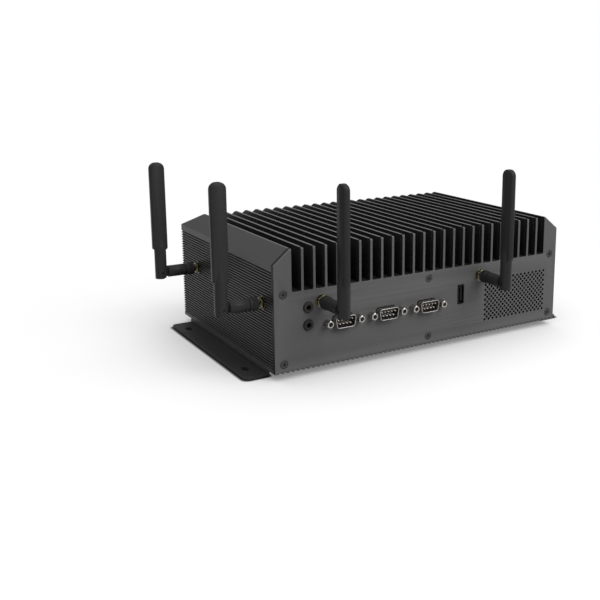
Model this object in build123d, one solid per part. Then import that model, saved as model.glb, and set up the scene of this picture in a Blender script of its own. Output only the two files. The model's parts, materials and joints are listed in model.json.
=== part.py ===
"""Fanless edge computer: finned extruded cover, four hinged aerials and two folded mounting brackets.

Sizes are in millimetres. X runs along the front, Y from front to back and Z up from the table.
The case is drawn about its own middle, and the finished pieces move by (shift_x, shift_y), so that
the origin lies on the table under the middle of the whole outline.
"""

import os
from math import radians, tan

from build123d import *

# Case
case_width = 251.0
case_depth = 170.0
case_height = 85.7
bevel_width = 12.1
bevel_height = 10.0
rear_bevel_length = 19.0
wall = 4.0

# Fins on top
fin_count = 24
fin_thickness = 1.84
fin_gap = 7.2
fin_height = 29.7
roof_thickness = 5.0
fin_nose_radius = 1.3

# Fine grooves on the side walls
groove_count = 35
groove_pitch = 1.965
groove_radius = 0.55
groove_depth = 1.0
first_groove_height = 3.4

# Bottom cover and its ribs
bottom_thickness = 3.0
rib_groove_count = 63
rib_pitch = 3.92
rib_groove_mouth = 1.5
rib_groove_root = 0.8
rib_groove_depth = 1.2

# Panels
front_thickness = 3.2
rear_thickness = 2.0
rear_recess = 2.0
rebate_wall = 2.0
panel_clearance = 0.1
cutout_clearance = 0.3

# Screws
screw_diameter = 3.0
screw_clearance = 0.2
thread_clearance = 0.05
screw_head_diameter = 5.5
screw_head_height = 1.8
screw_bite = 9.0
cross_width = 0.8
cross_length = 3.0
cross_depth = 0.9

# Screw channels along the extrusion, from the side faces and the underside
channel_inset = 6.8
low_channel_height = 6.4
front_high_channel_height = 55.0
rear_high_channel_height = 46.0
middle_channel_drop = 5.5
channel_size = 7.0

# Vent in the front panel: rows of holes, each second row one hole shorter
vent_rows = 17
vent_row_spacing = 1.97
vent_pitch = 3.95
vent_holes = 16
vent_hole_diameter = 1.9
vent_centre_x = 83.4
vent_centre_height = 26.25

# Nine-pin ports
com_port_count = 3
com_port_pitch = 35.6
com_port_first_x = -73.2
com_port_height = 30.6
com_screw_spacing = 24.99
com_shell_width = 16.9
com_shell_height = 8.4
com_shell_wall = 0.5
com_shell_corner = 2.2
com_shell_proud = 5.2
com_cup_depth = 5.9
com_flange_width = 30.8
com_flange_height = 12.5
com_flange_thickness = 0.8
com_side_angle = 10.0
com_pin_diameter = 1.0
com_pin_pitch = 2.77
com_pin_row_spacing = 2.84
com_pin_recess = 1.0
jackscrew_across = 4.8
jackscrew_reach = 6.0
jackscrew_hole = 2.84
jackscrew_hole_depth = 5.0
jackscrew_shank = 2.8
port_body_depth = 9.0

# Display socket, standing upright
hdmi_x = 29.9
hdmi_height = 34.2
hdmi_width = 5.5
hdmi_length = 14.5
hdmi_wall = 0.4
hdmi_bevel = 1.6
hdmi_proud = 0.4
hdmi_tongue_thickness = 1.0
hdmi_tongue_length = 11.0

# Audio jacks
audio_inset = 25.5
audio_heights = (31.3, 43.8)
audio_ring_diameter = 7.2
audio_bore = 3.6
audio_proud = 1.2
audio_body_width = 8.0

# Aerial sockets and aerials
aerial_height = 47.0
side_aerials_y = (50.0, -68.0)
front_aerials_x = (-89.5, 48.0)
thread_diameter = 6.35
thread_reach = 8.0
socket_flange_diameter = 7.6
socket_flange_thickness = 1.6
socket_tail_diameter = 3.6
socket_tail_length = 5.0
washer_diameter = 9.4
washer_thickness = 0.6
nut_across = 8.0
nut_thickness = 2.2
coupling_diameter = 9.6
coupling_start = 4.7
coupling_end = 10.5
coupling_web = 1.5
sleeve_diameter = 8.8
sleeve_gap = 0.2
sleeve_neck_diameter = 5.0
sleeve_flange_diameter = 5.8
running_clearance = 0.05
hinge_distance = 30.0
sleeve_end_distance = 5.0
tongue_thickness = 3.6
tongue_radius = 3.3
tongue_clearance = 0.2
hinge_pin_diameter = 2.0
hinge_pin_length = 7.2
whip_foot = 4.6
whip_neck = 19.0
whip_cone_height = 8.6
whip_cone_tip = 2.25
whip_height = 84.2
paddle_width = 11.3
paddle_thickness = 4.5
paddle_corner = 4.8
paddle_edge = 0.9

# Brackets
bracket_height = 5.0
bracket_length = 143.2
bracket_sheet = 2.0
foot_reach = 16.0
flange_reach = 14.0
foot_corner = 3.0
bend_radius = 1.4
slot_width = 4.5
slot_length = 8.0
slot_spacing = 108.0
slot_distance = 8.2
bracket_screw_spacing = 52.0

# Rear connections
rear_proud = 0.5
network_jack_size = (16.0, 13.4)
network_jack_depth = 21.0
network_jacks_x = (-34.0, -14.0)
network_opening = (11.8, 8.0)
network_opening_depth = 14.0
usb_size = (13.2, 15.4)
usb_depth = 17.5
usb_x = (10.0, 28.0)
usb_mouth = (12.3, 4.8)
usb_spacing = 7.0
usb_tongue = (10.6, 1.8)
terminal_size = (17.6, 8.6)
terminal_depth = 12.0
terminal_x = -66.0
terminal_poles = 3
terminal_pitch = 5.08
light_pipes_x = (50.0, 56.0)
light_pipe_diameter = 3.0
button_x = 74.0
button_height = 25.0
button_diameter = 9.0
button_travel = 1.0
bezel_diameter = 13.0
bezel_proud = 0.7
switch_width = 8.0

# Boards inside
board_width = 190.0
board_depth = 124.0
board_thickness = 1.6
board_gap = 8.0
board_rear_gap = 3.0
standoff_across = 5.5
post_inset = 6.0
port_board_top = 42.6
port_board_bottom = 20.0
port_board_ear_top = 49.5
port_board_ear_width = 11.0
port_board_right = 40.0
link_width = 30.0
link_x = -20.0
module_size = (69.6, 45.0, 1.2)
module_centre = (0.0, 8.0)
module_lift = 6.4
chip_size = (24.0, 24.0, 2.2)
pad_thickness = 0.6
pedestal_size = 30.0
spreader_size = (90.0, 70.0, 8.0)
spreader_screw_spacing = (76.0, 56.0)
drive_size = (22.0, 80.0)
drive_centre = (66.0, 10.0)
radio_size = (22.0, 30.0)
radio_centre = (-72.0, 5.0)
card_thickness = 0.8
card_lift = 2.6
card_chip_height = 1.2
cell_diameter = 20.0
cell_thickness = 3.2
cell_centre = (-72.0, 45.0)
lead_diameter = 1.4
lead_plug_diameter = 2.4
lead_plug_height = 1.2
lead_plug_pitch = 4.5

# Worked out from the sizes above
case_bottom = bracket_height
case_top = case_bottom + case_height
half_width = case_width / 2
half_depth = case_depth / 2
front_y = -half_depth
cover_front = front_y + front_thickness
cover_rear = half_depth
screw_seat_y = front_y + screw_head_height
shoulder_z = case_top - bevel_height
gap_floor = case_top - fin_height
ceiling = gap_floor - roof_thickness
floor_z = case_bottom + bottom_thickness
wall_inside = half_width - wall
fin_pitch = fin_thickness + fin_gap
channel_x = half_width - channel_inset
low_channel_z = case_bottom + low_channel_height
front_high_z = case_bottom + front_high_channel_height
rear_high_z = case_bottom + rear_high_channel_height
middle_high_z = gap_floor - middle_channel_drop
rebate_depth = rear_recess + rear_thickness
rear_face = cover_rear - rear_recess
rear_inside = cover_rear - rebate_depth
rear_top = gap_floor - rebate_wall
aerial_z = case_bottom + aerial_height
com_z = case_bottom + com_port_height
com_xs = [com_port_first_x + i * com_port_pitch for i in range(com_port_count)]
com_sides = (-com_screw_spacing / 2, com_screw_spacing / 2)
hdmi_z = case_bottom + hdmi_height
audio_x = audio_inset - half_width
audio_zs = [case_bottom + height for height in audio_heights]
board_z = floor_z + board_gap
board_top = board_z + board_thickness
board_rear = rear_inside - board_rear_gap
board_front = board_rear - board_depth
port_board_y = cover_front + com_flange_thickness + port_body_depth
port_board_back = port_board_y + board_thickness
button_z = board_top + button_height - board_gap
module_z = board_top + module_lift
chip_z = module_z + module_size[2]
pad_z = chip_z + chip_size[2]
pedestal_z = pad_z + pad_thickness
spreader_z = ceiling - spreader_size[2]
card_z = board_top + card_lift
slot_x = half_width + slot_distance
aerial_reach = hinge_distance + paddle_width / 2
shift_x = (aerial_reach - foot_reach) / 2
shift_y = aerial_reach / 2


def along_x(section, left, right):
    """Extrude a section drawn in Y and Z from left to right."""
    return extrude(Plane.YZ.offset(left) * section, amount=right - left)


def along_y(section, front, rear):
    """Extrude a section drawn in X and Z from front to rear."""
    return extrude(Plane.XZ.offset(-rear) * section, amount=rear - front)


def along_z(section, low, high):
    """Extrude a section drawn in X and Y from low to high."""
    return extrude(Pos(0, 0, low) * section, amount=high - low)


def block(left, right, low, high):
    """Rectangle between its four edges."""
    return Pos((left + right) / 2, (low + high) / 2) * Rectangle(right - left, high - low)


def outline(*points):
    """Closed face through the given corners."""
    return make_face(Polyline(*points, close=True))


def group(pieces):
    """Loose pieces that share one file."""
    return Compound([solid for piece in pieces for solid in piece.solids()])


def fin_gaps():
    """The gaps between the fins, open at the top."""
    first = -fin_pitch * fin_count / 2
    high = case_top + 1
    centres = [first + i * fin_pitch for i in range(fin_count + 1)]
    return [block(x - fin_gap / 2, x + fin_gap / 2, gap_floor, high) for x in centres]


def rib_grooves():
    """Flared grooves between the ribs under the case."""
    first = -rib_pitch * (rib_groove_count - 1) / 2
    low = case_bottom
    root = low + rib_groove_depth
    wide = rib_groove_mouth / 2
    narrow = rib_groove_root / 2
    groove = outline((-wide, low), (wide, low), (narrow, root), (-narrow, root))
    return [Pos(first + i * rib_pitch, 0) * groove for i in range(rib_groove_count)]


def side_grooves():
    """Round-bottomed grooves on both side walls."""
    bend = half_width - groove_depth + groove_radius
    mouth = block(bend, half_width + groove_radius, -groove_radius, groove_radius)
    groove = mouth + Pos(bend, 0) * Circle(groove_radius)
    low = case_bottom + first_groove_height
    heights = [low + i * groove_pitch for i in range(groove_count)]
    return [Pos(0, z) * shape for shape in (groove, mirror(groove, about=Plane.YZ)) for z in heights]


def case_section(low):
    """Outer outline of the case above a height, with bevelled shoulders."""
    top_half = half_width - bevel_width
    return outline(
        (-half_width, low), (half_width, low), (half_width, shoulder_z), (top_half, case_top),
        (-top_half, case_top), (-half_width, shoulder_z),
    )


def screw_places_front():
    """X and Z of the six front panel screws."""
    sides = [(side * channel_x, z) for side in (-1, 1) for z in (low_channel_z, front_high_z)]
    return sides + [(0, low_channel_z), (0, middle_high_z)]


def screw_places_rear():
    """X and Z of the six rear panel screws."""
    sides = [(side * channel_x, z) for side in (-1, 1) for z in (low_channel_z, rear_high_z)]
    return sides + [(0, low_channel_z), (0, middle_high_z)]


def bracket_screw_places():
    """X and Y of the three screws in each bracket."""
    rows = (-bracket_screw_spacing, 0, bracket_screw_spacing)
    return [(side * channel_x, y) for side in (-1, 1) for y in rows]


def screw(length):
    """Pan-head screw with a cross recess, its head above the origin and its shank below."""
    head = along_z(Circle(screw_head_diameter / 2), 0, screw_head_height)
    head = chamfer(head.edges().group_by(Axis.Z)[-1], screw_head_height / 3)
    shank = along_z(Circle(screw_diameter / 2), -length, 0)
    cross = Rectangle(cross_length, cross_width) + Rectangle(cross_width, cross_length)
    return head + shank - along_z(cross, screw_head_height - cross_depth, screw_head_height)


def front_screws():
    """The six screws of the front panel, their heads flush in its counterbores."""
    one = Rot(90, 0, 0) * screw(cover_front - screw_seat_y + screw_bite)
    return group([Pos(x, screw_seat_y, z) * one for x, z in screw_places_front()])


def rear_screws():
    """The six screws of the rear panel, heads backward."""
    one = Rot(-90, 0, 0) * screw(rear_thickness + screw_bite)
    return group([Pos(x, rear_face, z) * one for x, z in screw_places_rear()])


def bracket_screws():
    """Screws from below through bracket and bottom cover into the cover's channel walls."""
    low = bracket_height - bracket_sheet
    one = Rot(180, 0, 0) * screw(bracket_sheet + bottom_thickness + channel_size - 2)
    return group([Pos(x, y, low) * one for x, y in bracket_screw_places()])


def thread_holes(places, front, rear):
    """Tapped holes along Y for the panel screws."""
    radius = screw_diameter / 2 + thread_clearance
    return [along_y(Pos(x, z) * Circle(radius), front, rear) for x, z in places]


def heatsink_cover():
    """Extruded cover: roof with fins, bevelled shoulders, grooved walls and screw channels."""
    section = case_section(floor_z) - fin_gaps() - side_grooves()
    section -= block(-wall_inside, wall_inside, floor_z, ceiling)
    edge = wall_inside - channel_size
    half = channel_size / 2
    for side in (-1, 1):
        left, right = sorted((side * edge, side * (wall_inside + 1)))
        section += block(left, right, floor_z, floor_z + channel_size)
        section += block(left, right, rear_high_z - half, ceiling)
    section += block(-half, half, middle_high_z - half, ceiling + 1)
    body = along_y(section, cover_front, cover_rear)
    cut_top = outline(
        (cover_rear, shoulder_z), (cover_rear + 1, shoulder_z), (cover_rear + 1, case_top + 1),
        (cover_rear - rear_bevel_length, case_top + 1), (cover_rear - rear_bevel_length, case_top),
    )
    body -= along_x(cut_top, -half_width - 1, half_width + 1)
    rebate = half_width - rebate_wall
    body -= along_y(block(-rebate, rebate, floor_z, rear_top), rear_inside, cover_rear)
    body -= thread_holes(screw_places_front(), cover_front, cover_front + screw_bite + 1)
    body -= thread_holes(screw_places_rear(), rear_inside - screw_bite - 1, rear_inside)
    radius = screw_diameter / 2 + thread_clearance
    for x, y in bracket_screw_places():
        body -= along_z(Pos(x, y) * Circle(radius), floor_z, floor_z + channel_size)
    pocket = socket_flange_diameter / 2 + 2
    for y in side_aerials_y:
        hole = Pos(y, aerial_z) * Circle(thread_diameter / 2 + screw_clearance)
        room = block(y - pocket, y + pocket, aerial_z - pocket - 2, ceiling)
        body -= along_x(hole, -half_width - 1, -wall_inside)
        body -= along_x(room, -wall_inside, -edge)
    return body


def bottom_cover():
    """Extruded floor, ribbed underneath, with one screw channel along its middle."""
    half = channel_size / 2
    section = block(-half_width, half_width, case_bottom, floor_z) - rib_grooves()
    body = along_y(section, cover_front, cover_rear)
    body += along_y(block(-half, half, floor_z, floor_z + channel_size), cover_front, rear_inside)
    middle = [(0, low_channel_z)]
    body -= thread_holes(middle, cover_front, cover_front + screw_bite + 1)
    body -= thread_holes(middle, rear_inside - screw_bite - 1, rear_inside)
    radius = screw_diameter / 2 + screw_clearance
    for x, y in bracket_screw_places():
        body -= along_z(Pos(x, y) * Circle(radius), case_bottom, floor_z)
    return body


def d_shape(width, height, corner):
    """Outline of a nine-pin shell, its wide side up."""
    lean = height * tan(radians(com_side_angle)) / 2
    top = width / 2
    bottom = top - 2 * lean
    face = outline((-bottom, -height / 2), (bottom, -height / 2), (top, height / 2), (-top, height / 2))
    return fillet(face.vertices(), corner)


def vent():
    """Hexagonal holes in staggered rows."""
    holes = []
    hexagon = RegularPolygon(vent_hole_diameter / 2, 6)
    low = case_bottom + vent_centre_height - vent_row_spacing * (vent_rows - 1) / 2
    for row in range(vent_rows):
        count = vent_holes - row % 2
        first = vent_centre_x - vent_pitch * (count - 1) / 2
        z = low + row * vent_row_spacing
        holes += [Pos(first + i * vent_pitch, z) * hexagon for i in range(count)]
    return holes


def hdmi_outline(grow):
    """Outline of the display socket, its bevelled narrow side towards the left."""
    wide = hdmi_width / 2 + grow
    tall = hdmi_length / 2 + grow
    bevel = hdmi_bevel
    return outline(
        (wide, -tall), (wide, tall), (bevel - wide, tall), (-wide, tall - bevel),
        (-wide, bevel - tall), (bevel - wide, -tall),
    )


def front_panel():
    """Plate whose comb covers the fin ends, with the vent and the port cut-outs."""
    section = case_section(case_bottom) - fin_gaps() - rib_grooves()
    radius = screw_diameter / 2 + screw_clearance
    holes = vent() + [Pos(x, z) * Circle(radius) for x, z in screw_places_front()]
    shell = d_shape(
        com_shell_width + 2 * cutout_clearance, com_shell_height + 2 * cutout_clearance, com_shell_corner
    )
    shank = Circle(jackscrew_shank / 2 + screw_clearance)
    for x in com_xs:
        holes.append(Pos(x, com_z) * shell)
        holes += [Pos(x + side, com_z) * shank for side in com_sides]
    holes.append(Pos(hdmi_x, hdmi_z) * hdmi_outline(cutout_clearance))
    ring = Circle(audio_ring_diameter / 2 + cutout_clearance)
    holes += [Pos(audio_x, z) * ring for z in audio_zs]
    socket = Circle(thread_diameter / 2 + screw_clearance)
    holes += [Pos(x, aerial_z) * socket for x in front_aerials_x]
    section = section.face().make_holes([hole.wire() for hole in holes])
    plate = along_y(section, front_y, cover_front)
    counterbore = Circle(screw_head_diameter / 2 + screw_clearance)
    plate -= [along_y(Pos(x, z) * counterbore, front_y, screw_seat_y) for x, z in screw_places_front()]
    nose = outline(
        (front_y, case_top - fin_nose_radius), (front_y, case_top + 1), (cover_front, case_top + 1),
        (cover_front, case_top), (front_y + fin_nose_radius, case_top),
    )
    nose -= Pos(front_y + fin_nose_radius, case_top - fin_nose_radius) * Circle(fin_nose_radius)
    return plate - along_x(nose, -half_width, half_width)


def rear_panel():
    """Plate in the cover's rebate, with the cut-outs of the rear connections."""
    edge = half_width - rebate_wall - panel_clearance
    section = block(-edge, edge, floor_z, rear_top - panel_clearance)
    radius = screw_diameter / 2 + screw_clearance
    section -= [Pos(x, z) * Circle(radius) for x, z in screw_places_rear()]
    sizes = [(x, network_jack_size) for x in network_jacks_x] + [(x, usb_size) for x in usb_x]
    sizes.append((terminal_x, terminal_size))
    gap = cutout_clearance
    for x, (width, height) in sizes:
        section -= block(x - width / 2 - gap, x + width / 2 + gap, board_top - gap, board_top + height + gap)
    pipe = Circle(light_pipe_diameter / 2 + gap / 2)
    section -= [Pos(x, board_top + light_pipe_diameter) * pipe for x in light_pipes_x]
    section -= Pos(button_x, button_z) * Circle(button_diameter / 2 + 1)
    return along_y(section, rear_inside, rear_face)


def bracket():
    """Right bracket: flange under the case, short riser and slotted foot."""
    out = half_width
    sheet = bracket_sheet
    section = block(out - flange_reach, out, bracket_height - sheet, bracket_height)
    section += block(out - sheet, out, 0, bracket_height)
    section += block(out - sheet, out + foot_reach, 0, sheet)
    bends = section.vertices().filter_by(
        lambda v: (v.X > out - 0.01 and v.Y > bracket_height - 0.01)
        or (abs(v.X - out + sheet) < 0.01 and v.Y < 0.01)
    )
    section = fillet(bends, bend_radius)
    body = along_y(section, -bracket_length / 2, bracket_length / 2)
    corners = body.edges().filter_by(Axis.Z)
    body = fillet(corners.group_by(Axis.X)[-1] + corners.group_by(Axis.X)[0], foot_corner)
    slot = Pos(slot_x, 0) * SlotOverall(slot_length, slot_width, rotation=90)
    for side in (-1, 1):
        body -= along_z(Pos(0, side * slot_spacing / 2) * slot, 0, sheet)
    radius = screw_diameter / 2 + screw_clearance
    for x, y in bracket_screw_places():
        if x > 0:
            body -= along_z(Pos(x, y) * Circle(radius), bracket_height - sheet, bracket_height)
    return body


def com_shell():
    """Pressed shell of a nine-pin port with its flange behind the panel."""
    inner = d_shape(com_shell_width - 2 * com_shell_wall, com_shell_height - 2 * com_shell_wall,
                    com_shell_corner - com_shell_wall)
    flange = Rectangle(com_flange_width, com_flange_height) - inner
    flange -= [Pos(side, 0) * Circle(jackscrew_shank / 2 + screw_clearance) for side in com_sides]
    tube = d_shape(com_shell_width, com_shell_height, com_shell_corner) - inner
    body = along_y(flange, cover_front, cover_front + com_flange_thickness)
    return body + along_y(tube, front_y - com_shell_proud, cover_front)


def com_insert():
    """Moulded body of a nine-pin port, from inside the shell back to the port board."""
    wall_both = 2 * (com_shell_wall + thread_clearance)
    nose = d_shape(com_shell_width - wall_both, com_shell_height - wall_both, com_shell_corner - com_shell_wall)
    face = front_y - com_shell_proud + com_cup_depth
    seat = cover_front + com_flange_thickness
    body = along_y(nose, face, seat)
    body += along_y(Rectangle(com_screw_spacing - 6, com_flange_height - 2), seat, port_board_y)
    hole = Circle(com_pin_diameter / 2)
    return body - [along_y(place * hole, face, port_board_y) for place in pin_places()]


def pin_places():
    """Five pins in the upper row and four in the lower one."""
    rows = ((5, com_pin_row_spacing / 2), (4, -com_pin_row_spacing / 2))
    return [Pos((i - (count - 1) / 2) * com_pin_pitch, z) for count, z in rows for i in range(count)]


def com_pins():
    """The nine pins of one port."""
    pin = RegularPolygon(com_pin_diameter / 2, 8)
    front = front_y - com_shell_proud + com_pin_recess
    return [along_y(place * pin, front, port_board_y) for place in pin_places()]


def jackscrew():
    """Hexagonal standoff that clamps a port's flange to the panel."""
    hexagon = RegularPolygon(jackscrew_across / 2, 6, major_radius=False)
    body = along_y(hexagon, front_y - jackscrew_reach, front_y)
    body += along_y(Circle(jackscrew_shank / 2), front_y, cover_front + com_flange_thickness + 2)
    hole = Circle(jackscrew_hole / 2)
    return body - along_y(hole, front_y - jackscrew_reach, front_y - jackscrew_reach + jackscrew_hole_depth)


def at_com_ports(pieces):
    """Copies of one port's pieces at all ports."""
    return group([Pos(x, 0, com_z) * piece for x in com_xs for piece in pieces])


def hdmi_shell():
    """Pressed shell of the display socket, back to the port board."""
    tube = hdmi_outline(0) - hdmi_outline(-hdmi_wall)
    body = along_y(tube, front_y - hdmi_proud, port_board_y)
    back = along_y(hdmi_outline(-hdmi_wall), port_board_y - 3, port_board_y)
    return Pos(hdmi_x, 0, hdmi_z) * (body + back)


def hdmi_tongue():
    """Contact tongue inside the display socket."""
    tongue = Rectangle(hdmi_tongue_thickness, hdmi_tongue_length)
    body = along_y(tongue, front_y + 1, port_board_y - 3)
    return Pos(hdmi_x + hdmi_width / 6, 0, hdmi_z) * body


def audio_jacks():
    """Two round sockets, each with its body on the port board."""
    ring = Circle(audio_ring_diameter / 2)
    bore = Circle(audio_bore / 2)
    body = Rectangle(audio_body_width, audio_body_width)
    jack = along_y(ring, front_y - audio_proud, cover_front)
    jack += along_y(body, cover_front, port_board_y)
    jack = chamfer(jack.edges().group_by(Axis.Y)[0], 0.4)
    jack -= along_y(bore, front_y - audio_proud, port_board_y - 2)
    return group([Pos(audio_x, 0, z) * jack for z in audio_zs])


def rod(diameter, start, end):
    """Round bar along X."""
    return along_x(Circle(diameter / 2), start, end)


def aerial_socket(thickness):
    """Threaded socket through a wall of the given thickness, whose outer face is at the origin."""
    back = -thickness
    body = rod(thread_diameter, back, thread_reach)
    body += rod(socket_flange_diameter, back - socket_flange_thickness, back)
    tail = back - socket_flange_thickness - socket_tail_length
    return body + rod(socket_tail_diameter, tail, back)


def aerial_washer():
    """Washer under the socket's nut."""
    hole = thread_diameter + 2 * thread_clearance
    return rod(washer_diameter, 0, washer_thickness) - rod(hole, 0, washer_thickness)


def aerial_nut():
    """Hexagonal nut of the socket."""
    end = washer_thickness + nut_thickness
    hexagon = RegularPolygon(nut_across / 2, 6, major_radius=False)
    hole = Circle(thread_diameter / 2 + thread_clearance)
    return along_x(hexagon - hole, washer_thickness, end)


def aerial_coupling():
    """Knurled nut that holds the aerial on its socket."""
    web = coupling_end - coupling_web
    body = chamfer(rod(coupling_diameter, coupling_start, coupling_end).edges().filter_by(GeomType.CIRCLE), 0.5)
    body -= rod(thread_diameter + 2 * thread_clearance, coupling_start, web)
    return body - rod(sleeve_neck_diameter + 2 * running_clearance, web, coupling_end)


def aerial_sleeve():
    """Swivelling sleeve: neck through the coupling nut, barrel and hinge tongue."""
    web = coupling_end - coupling_web
    start = coupling_end + sleeve_gap
    end = hinge_distance - sleeve_end_distance
    body = rod(sleeve_diameter, start, end)
    body = chamfer(body.edges().filter_by(GeomType.CIRCLE), 0.4)
    body += rod(sleeve_neck_diameter, thread_reach + sleeve_gap, start)
    body += rod(sleeve_flange_diameter, thread_reach + sleeve_gap, web - running_clearance)
    tongue = block(end - 1, hinge_distance, -tongue_radius, tongue_radius)
    tongue += Pos(hinge_distance, 0) * Circle(tongue_radius)
    tongue -= Pos(hinge_distance, 0) * Circle(hinge_pin_diameter / 2 + running_clearance)
    return body + along_y(tongue, -tongue_thickness / 2, tongue_thickness / 2)


def hinge_pin():
    """Pin across the hinge, a little short of the whip's cheeks."""
    pin = Pos(hinge_distance, 0) * Circle(hinge_pin_diameter / 2)
    return along_y(pin, -hinge_pin_length / 2, hinge_pin_length / 2)


def aerial_whip():
    """Blade with its round forked foot, standing straight up from the hinge."""
    radius = sleeve_diameter / 2
    slot_radius = tongue_radius + tongue_clearance
    far = 2 * radius
    foot = along_z(Circle(radius), -whip_foot, whip_neck)
    keep = block(-far, far, 0, whip_neck) + block(0, far, -whip_foot, 0) + Circle(whip_foot)
    foot &= along_y(keep, -far, far)
    slot = Circle(slot_radius) + block(-far, 0, -slot_radius, slot_radius)
    slot += block(-slot_radius, slot_radius, -far, 0)
    half = tongue_thickness / 2 + tongue_clearance
    side = paddle_width / 2
    step = side - radius
    blade = outline(
        (-radius, whip_neck - step), (radius, whip_neck - step), (side, whip_neck), (side, whip_height),
        (-side, whip_height), (-side, whip_neck),
    )
    blade = fillet(blade.vertices().group_by(Axis.Y)[-1], paddle_corner)
    blade = along_y(blade, -paddle_thickness / 2, paddle_thickness / 2)
    faces = blade.faces().filter_by(Axis.Y)
    rim = [edge for face in faces for edge in face.edges() if edge.center().Z > whip_neck]
    blade = chamfer(rim, paddle_edge)
    cone = Pos(0, 0, whip_neck + whip_cone_height / 2) * Cone(radius, whip_cone_tip, whip_cone_height)
    body = foot + blade + cone
    body -= along_y(slot, -half, half)
    body -= along_y(Circle(hinge_pin_diameter / 2 + thread_clearance / 2), -far, far)
    return Pos(hinge_distance, 0, 0) * body


def aerial_places():
    """Place of each aerial: two on the left wall, then two on the front panel."""
    sides = [Pos(-half_width, y, aerial_z) * Rot(0, 0, 180) for y in side_aerials_y]
    return sides + [Pos(x, front_y, aerial_z) * Rot(0, 0, -90) for x in front_aerials_x]


def aerial_sockets():
    """The four sockets, two through the wall and two through the panel."""
    thicknesses = (wall, wall, front_thickness, front_thickness)
    return group([place * aerial_socket(t) for place, t in zip(aerial_places(), thicknesses)])


def network_jack():
    """Shielded network socket, open towards the rear."""
    width, height = network_jack_size
    rear = rear_face + rear_proud
    body = along_y(block(-width / 2, width / 2, 0, height), rear - network_jack_depth, rear)
    mouth_width, mouth_height = network_opening
    low = (height - mouth_height) / 2
    mouth = block(-mouth_width / 2, mouth_width / 2, low, low + mouth_height)
    mouth += block(-2, 2, low + mouth_height, low + mouth_height + 1.5)
    return body - along_y(mouth, rear - network_opening_depth, rear)


def usb_mouths():
    """Middle heights of the two openings of a double socket."""
    middle = usb_size[1] / 2
    return (middle - usb_spacing / 2, middle + usb_spacing / 2)


def usb_shell():
    """Shell of a double serial bus socket."""
    width, height = usb_size
    rear = rear_face + rear_proud
    body = along_y(block(-width / 2, width / 2, 0, height), rear - usb_depth, rear)
    for z in usb_mouths():
        body -= along_y(Pos(0, z) * Rectangle(*usb_mouth), rear - usb_depth + 4, rear)
    return body


def usb_tongue_piece(z):
    """Contact tongue of one opening, against its upper side."""
    width, thickness = usb_tongue
    rear = rear_face + rear_proud
    top = z + usb_mouth[1] / 2 - 0.6
    return along_y(block(-width / 2, width / 2, top - thickness, top), rear - usb_depth + 4, rear - 1)


def supply_terminal():
    """Pluggable supply terminal with one pin to a pole."""
    width, height = terminal_size
    rear = rear_face + rear_proud
    body = along_y(block(-width / 2, width / 2, 0, height), rear - terminal_depth, rear)
    room = block(1 - width / 2, width / 2 - 1, 1, height - 1)
    body -= along_y(room, rear - terminal_depth + 3, rear)
    for i in range(terminal_poles):
        x = (i - (terminal_poles - 1) / 2) * terminal_pitch
        body += along_y(Pos(x, height / 2) * Rectangle(1, 1), rear - terminal_depth + 2, rear - 1.5)
    return body


def on_board_rear(pieces, xs):
    """Copies of a rear connection standing on the mainboard."""
    return group([Pos(x, 0, board_top) * piece for x in xs for piece in pieces])


def light_pipe():
    """Clear pipe from a lamp on the board to the rear panel."""
    radius = light_pipe_diameter / 2
    pipe = along_y(Pos(0, light_pipe_diameter) * Circle(radius), board_rear - 4, rear_face + 0.3)
    return pipe + along_y(block(-radius, radius, 0, light_pipe_diameter), board_rear - 4, board_rear - 1)


def power_switch():
    """Switch on the mainboard behind the power button."""
    half = switch_width / 2
    face = rear_inside - 3
    body = along_y(block(-half, half, board_top, button_z + half), face - switch_width, face - 0.5)
    body += along_y(Pos(0, button_z) * Circle(2), face - 1, face)
    return Pos(button_x, 0, 0) * body


def power_button():
    """Round push button with its stem towards the switch and a collar behind the bezel."""
    stem_end = rear_inside - 3 + button_travel + 0.3
    rear = rear_face + bezel_proud + 0.4
    body = along_y(Circle(button_diameter / 2), rear_inside, rear)
    body = chamfer(body.edges().group_by(Axis.Y)[-1], 0.4)
    body += along_y(Circle(1.5), stem_end, rear_inside)
    return Pos(button_x, 0, button_z) * body


def button_bezel():
    """Ring round the power button, pressed into the rear panel."""
    hole = Circle(button_diameter / 2 + running_clearance)
    body = along_y(Circle(button_diameter / 2 + 1 - thread_clearance) - hole, rear_inside, rear_face)
    rim = along_y(Circle(bezel_diameter / 2) - hole, rear_face, rear_face + bezel_proud)
    return Pos(button_x, 0, button_z) * (body + rim)


def post_places():
    """X and Y of the posts under the mainboard."""
    x = board_width / 2 - post_inset
    rows = (board_front + post_inset, (board_front + board_rear) / 2, board_rear - post_inset)
    return [(side * x, y) for side in (-1, 1) for y in rows]


def mainboard():
    """Main circuit board."""
    board = block(-board_width / 2, board_width / 2, board_front, board_rear)
    radius = screw_diameter / 2 + screw_clearance
    board -= [Pos(x, y) * Circle(radius) for x, y in post_places()]
    return along_z(board, board_z, board_top)


def board_standoffs():
    """Hexagonal posts between the floor and the mainboard."""
    post = RegularPolygon(standoff_across / 2, 6, major_radius=False)
    post -= Circle(screw_diameter / 2 + thread_clearance)
    return group([along_z(Pos(x, y) * post, floor_z, board_z) for x, y in post_places()])


def board_screws():
    """Screws that hold the mainboard on its posts."""
    one = screw(board_gap - 1)
    return group([Pos(x, y, board_top) * one for x, y in post_places()])


def port_board():
    """Upright board that carries the front ports, with an ear behind the audio jacks."""
    left = audio_x - port_board_ear_width / 2
    low = case_bottom + port_board_bottom
    board = block(left, port_board_right, low, case_bottom + port_board_top)
    board += block(left, left + port_board_ear_width, low, case_bottom + port_board_ear_top)
    return along_y(board, port_board_y, port_board_back)


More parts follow.
